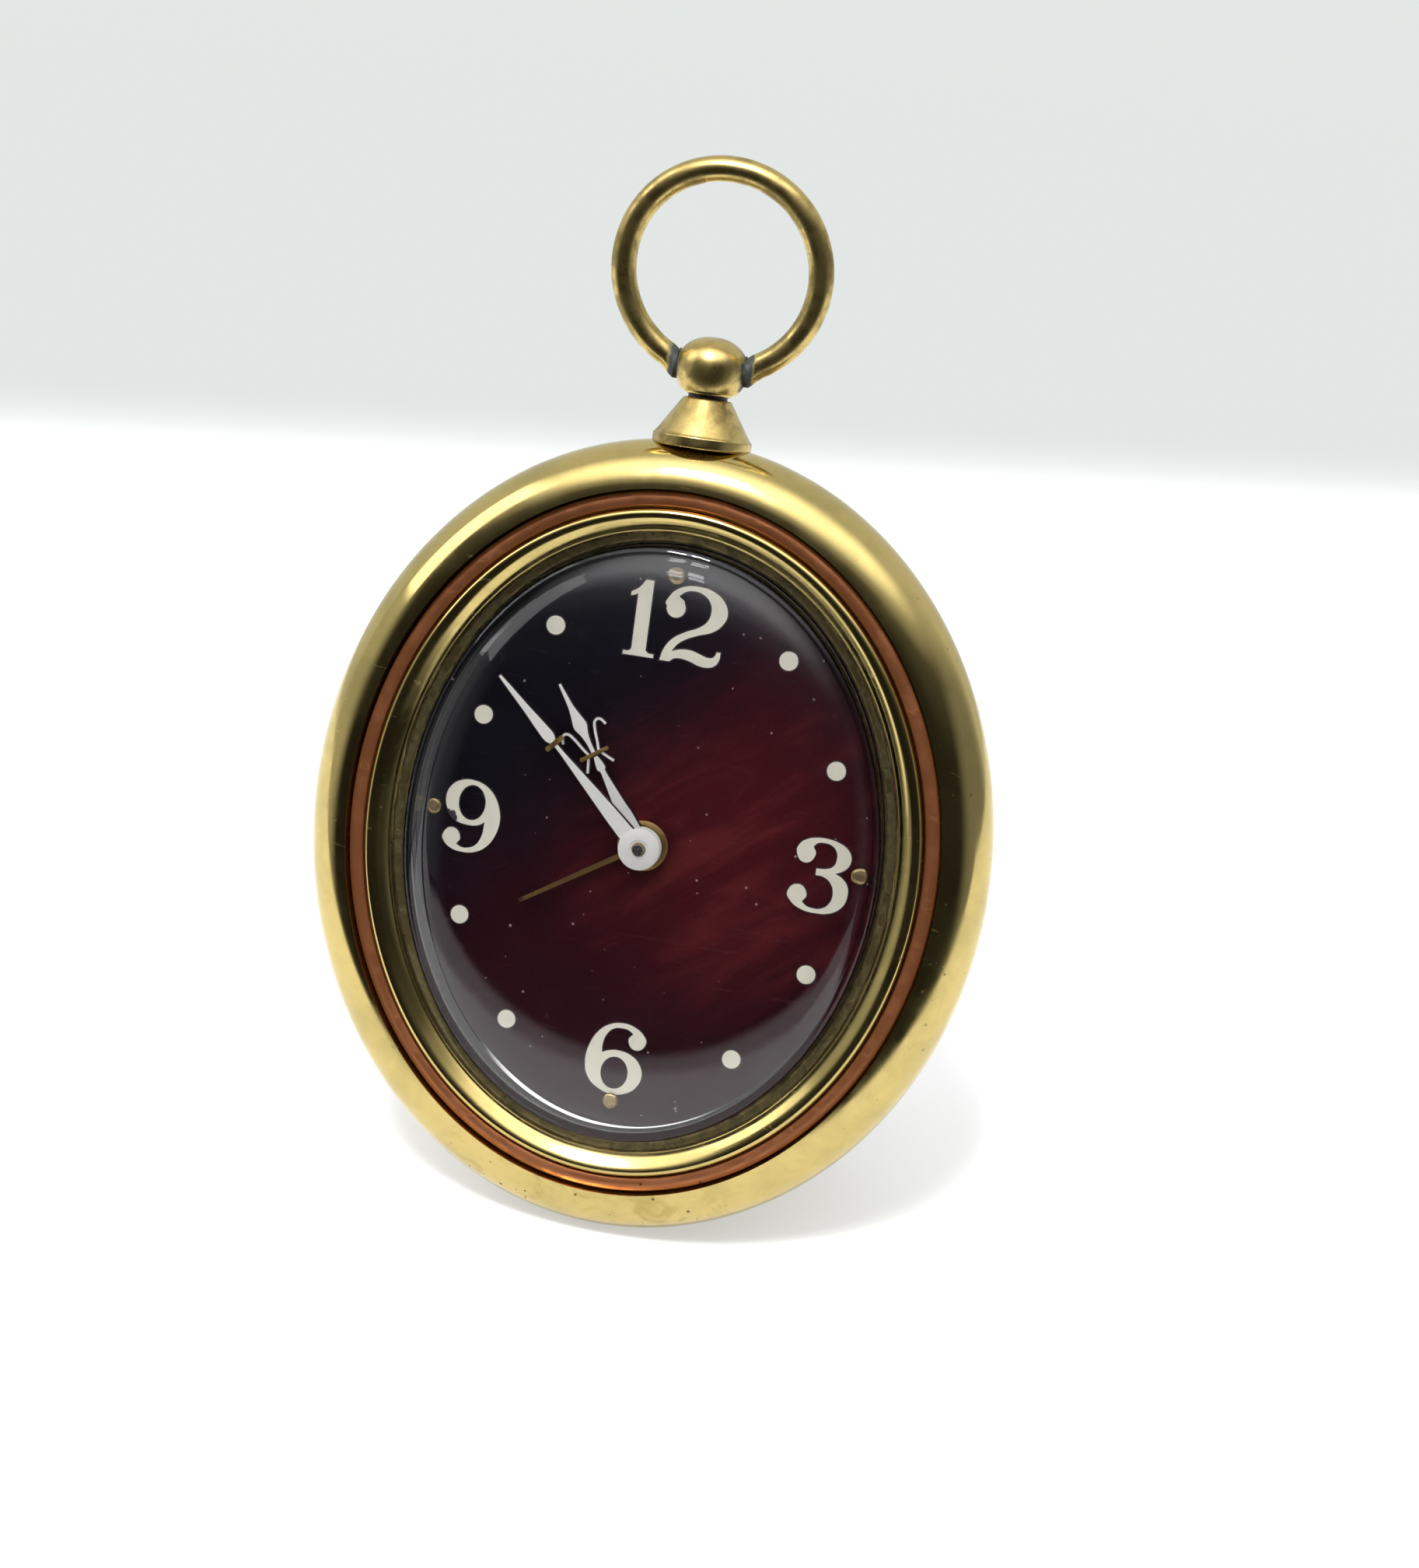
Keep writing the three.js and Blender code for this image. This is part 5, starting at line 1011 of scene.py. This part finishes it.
def slotted_screw():
    """Cheese head with a slot and a plain shank."""
    head = rounded([(0, CONTROL_Z, 0), (1.5, CONTROL_Z, 0.05), (1.5, -22.0, 0), (0, -22.0, 0)], 3)
    shank = [(0, -18.8), (0.7, -18.8), (0.7, -21.7), (0, -21.7)]
    parts = [(turned("s", head, 48), 0), (turned("s", shank, 32), 0)]
    for side in (1, -1):
        half = [(x, side * y) for x, y in arc_points(0, 0, 1.5, 7.7, 172.3, 24)]
        parts.append((flat_plate("s", half, -21.99, -22.3, 0.1), 0))
    return joined("screw", parts)


def make_back_screws():
    parts = []
    for i, (a, b) in enumerate(((1, 1), (-1, 1), (-1, -1), (1, -1))):
        parts.append((moved(slotted_screw(), a * SCREW_PLACE[0], b * SCREW_PLACE[1], 35 + 50 * i), 0))
    add_piece("back_screws", joined("back_screws", parts), ["screw_steel"],
              ["back_screw_1", "back_screw_2", "back_screw_3", "back_screw_4"])


def make_setting_knobs():
    """Fluted knobs: hand setting in the middle, alarm setting above it."""
    for label, place, radius, flutes, end, body in (
            ("hand_set", (0, 0), 3.2, 16, -24.4, "centre"),
            ("alarm_set", ALARM_SET, 2.6, 14, -23.8, "alarm_setting")):
        foot = rounded([(0, CONTROL_Z, 0), (radius * 0.62, CONTROL_Z, 0.1), (radius * 0.62, -22.2, 0),
                        (0, -22.2, 0)], 3)
        parts = [(flat_plate("k", fluted(radius, flutes, 0.35), -22.1, end, 0.18), 0),
                 (turned("k", foot, 48), 0)]
        mesh = moved(joined(label, parts), *place)
        add_piece(label + "_knob_fine", mesh, ["control_nickel"], [label + "_knob"], body, sharp=30)


def key_hub():
    """A turned hub on its stem, with two ears that stand across the wing's pin."""
    hub = rounded([(0, CONTROL_Z, 0), (2.3, CONTROL_Z, 0.15), (2.3, -23.5, 0.1), (2.1, -23.8, 0.1),
                   (0, -23.8, 0)], 4)
    stem = [(0, -4.0), (0.9, -4.0), (0.9, -21.7), (0, -21.7)]
    parts = [(turned("k", hub, 64), 0), (turned("k", stem, 32), 0)]
    ear = arc_points(0, 0, 0.9, 0, 180, 16) + [(-0.9, -1.2), (0.9, -1.2)]
    for side in (1, -1):
        plate = flat_plate("k", ear, 1.3, 2.1, 0.08)
        plate.transform(Matrix(((0, 0, side, 0), (1, 0, 0, 0), (0, -1, 0, WING_Z), (0, 0, 0, 1))))
        if side == 1:
            plate.flip_normals()
        parts.append((plate, 0))
    return joined("hub", parts)


def key_wing():
    """A folding ring with a tongue, on a cross pin."""
    lobe = pierced_plate("w", circle(0, 4.2, 4.4, 96), [circle(0, 4.9, 2.2)], -24.35, -25.25)
    tongue = flat_plate("w", [(1.0, -0.3), (1.0, 0.3), (-1.0, 0.3), (-1.0, -0.3)], -24.35, -25.25)
    pin = turned("w", [(0, -2.1), (0.45, -2.1), (0.45, 2.1), (0, 2.1)], 32)
    pin.transform(Matrix.Translation((0, 0, WING_Z)) @ Matrix.Rotation(math.pi / 2, 4, "Y"))
    return joined("w", [(lobe, 0), (tongue, 0), (pin, 0)])


def make_keys():
    for label, place in KEY_PLACES.items():
        add_piece(label + "_key_hub_fine", moved(key_hub(), *place), ["control_nickel"],
                  [label + "_key_hub"], label + "_key")
        add_piece(label + "_key_wing_fine", moved(key_wing(), *place), ["control_nickel"],
                  [label + "_key_wing"], label + "_wing")


def make_stop_button():
    profile = rounded([(0, -24.8, 0), (1.55, -24.8, 0.2), (2.0, -24.4, 0.3), (2.0, -23.2, 0.2),
                       (0.9, -23.2, 0), (0.9, -14.9, 0), (0, -14.9, 0)], 5)
    add_piece("alarm_stop_fine", turned("stop", profile, 64, STOP_PLACE), ["control_nickel"],
              ["alarm_stop_button"], "stop")


# room, light and camera

TABLE_WHITE = (0.86, 0.87, 0.872)
TABLE_EDGE = -0.102
TABLE_SIDES = (-0.55, 0.9)
WALL_AT = 0.270
WALL_TURN = math.radians(22.3)
WALL_TOP = 0.9
COVE = 0.012


def table_material():
    """White table that keeps soft shadows, with a painted shadow darkening it towards its front edge, and rises
    into a grey-blue backdrop.
    """
    material, tree, shader = new_material("white_sweep")
    axes = split(tree, add_node(tree, "ShaderNodeTexCoord").outputs["Object"])
    backdrop = ramp(tree, calc(tree, "DIVIDE", axes["Z"], 0.5), [
        (0.0, (0.96, 0.965, 0.96)), (0.006, (0.92, 0.93, 0.925)), (0.030, (0.765, 0.795, 0.785)),
        (0.25, (0.765, 0.805, 0.785)), (0.6, (0.80, 0.82, 0.80)), (1.0, (0.80, 0.82, 0.80))])
    # painted shadow: the table darkens towards its front edge, seen mostly in the reflections of the brass and
    # crystal
    front_painted_shadow = span(tree, axes["Y"], -0.100, -0.078, 0.03, 1.0)
    glow = add_node(tree, "ShaderNodeEmission", {
        "Color": mix(tree, 1.0, backdrop, front_painted_shadow, "MULTIPLY")})
    feed(shader, {"Base Color": mix(tree, 1.0, TABLE_WHITE, front_painted_shadow, "MULTIPLY"),
                  "Roughness": 0.9, "Specular IOR Level": 0.0})
    rays = add_node(tree, "ShaderNodeLightPath").outputs
    seen = calc(tree, "MAXIMUM", rays["Is Camera Ray"],
                calc(tree, "MAXIMUM", rays["Is Glossy Ray"], rays["Is Transmission Ray"]))
    share = plus(tree, 0.5, times(tree, span(tree, axes["Z"], 0.0, 0.02), 0.5))
    blend = add_node(tree, "ShaderNodeMixShader", {
        "Fac": times(tree, seen, share), 1: shader.outputs["BSDF"], 2: glow.outputs["Emission"]})
    feed(tree.nodes["Material Output"], {"Surface": blend.outputs["Shader"]})
    return material


def make_table():
    """One sweep: table, a small curve and a wall behind that stands a little askew."""
    bend = [(COVE * math.sin(a), COVE * (1 - math.cos(a))) for a in
            (math.radians(90 * i / 16) for i in range(17))]
    shell = bmesh.new()
    rows = [[shell.verts.new((x, TABLE_EDGE, 0)) for x in TABLE_SIDES]]
    for out, up in bend + [(COVE, WALL_TOP)]:
        rows.append([shell.verts.new((x, WALL_AT + x * math.tan(WALL_TURN) + out, up)) for x in TABLE_SIDES])
    for a, b in zip(rows, rows[1:]):
        shell.faces.new((a[0], a[1], b[1], b[0]))
    bmesh.ops.recalc_face_normals(shell, faces=shell.faces)
    mesh = mesh_of(shell, "table_sweep")
    mesh.shade_smooth()
    mesh.materials.append(table_material())
    put("table_sweep", mesh)


def make_world():
    """Room light: pale above, behind and beside, dark at eye level in front of the clock."""
    world = bpy.data.worlds.new("soft_room")
    world.use_nodes = True
    tree = world.node_tree
    axes = split(tree, add_node(tree, "ShaderNodeTexCoord").outputs["Generated"])
    level = calc(tree, "MULTIPLY_ADD", axes["Z"], 0.5, 0.5)
    ahead = ramp(tree, level, [
        (0.0, 0.05), (0.25, 0.012), (0.42, 0.008), (0.50, 0.008), (0.62, 0.012), (0.74, 0.04), (0.81, 0.22),
        (0.87, 0.75), (0.92, 1.05), (1.0, 1.1)], "LINEAR")
    colour = mix(tree, span(tree, axes["Y"], 0.2, -0.35), (0.30, 0.31, 0.31), ahead)
    colour = mix(tree, span(tree, axes["X"], -0.70, -0.95), colour, (0.24, 0.245, 0.24))
    colour = mix(tree, span(tree, axes["X"], 0.72, 0.97), colour, (0.11, 0.115, 0.12))
    feed(tree.nodes["Background"], {"Color": colour, "Strength": 2.6})
    bpy.context.scene.world = world


def add_lamp(name, at, size, power, aim=(0, 0, 0.045)):
    lamp = bpy.data.lights.new(name, "AREA")
    lamp.shape = "RECTANGLE"
    lamp.size, lamp.size_y = size
    lamp.energy = power
    holder = put(name, lamp)
    holder.location = at
    holder.rotation_euler = (Vector(aim) - Vector(at)).to_track_quat("-Z", "Y").to_euler()


def make_lights():
    """Two rows of two ceiling panels above and in front, and a weak fill from the left."""
    centre = Vector((-0.10, -0.50, 0.87)) * 1.1
    for row in (-1, 1):
        for column in (-1, 1):
            at = centre + Vector((0.06 * column, 0.05 * row, 0))
            add_lamp("ceiling_panel", at, (0.085, 0.065), 3.2)
    add_lamp("left_fill", (-0.8, -0.2, 0.6), (0.5, 0.5), 2.0)


def make_camera():
    """The photograph's viewpoint, found from the dial's marks."""
    camera = bpy.data.cameras.new("camera")
    camera.lens = 53.57
    camera.sensor_width = 36
    camera.clip_start = 0.01
    back = Vector((0.135, 0.173, 0.976)).normalized()
    right = Vector((0.978, 0.136, -0.159))
    right = (right - back * right.dot(back)).normalized()
    axes = Matrix((right, back.cross(right), back)).transposed().to_4x4()
    turn = DIAL.to_3x3().normalized().to_4x4() @ axes
    holder = put("camera", camera)
    holder.matrix_world = Matrix.Translation(on_dial(37.04, 47.28, 227.04)) @ turn
    bpy.context.scene.camera = holder


# whole scene

for make in (
        make_camera, make_table, make_world, make_lights, dress_cad_nodes, make_bezel, make_inlay,
        make_crystal, make_retainer, make_collar, make_ball, make_bow, make_numerals, make_hour_dots,
        make_studs, make_drum, make_back_cover, make_back_screws, make_setting_knobs, make_keys,
        make_stop_button, make_minute_hand, make_hour_hand, make_alarm_hand):
    make()

bpy.context.scene.view_settings.view_transform = "Standard"
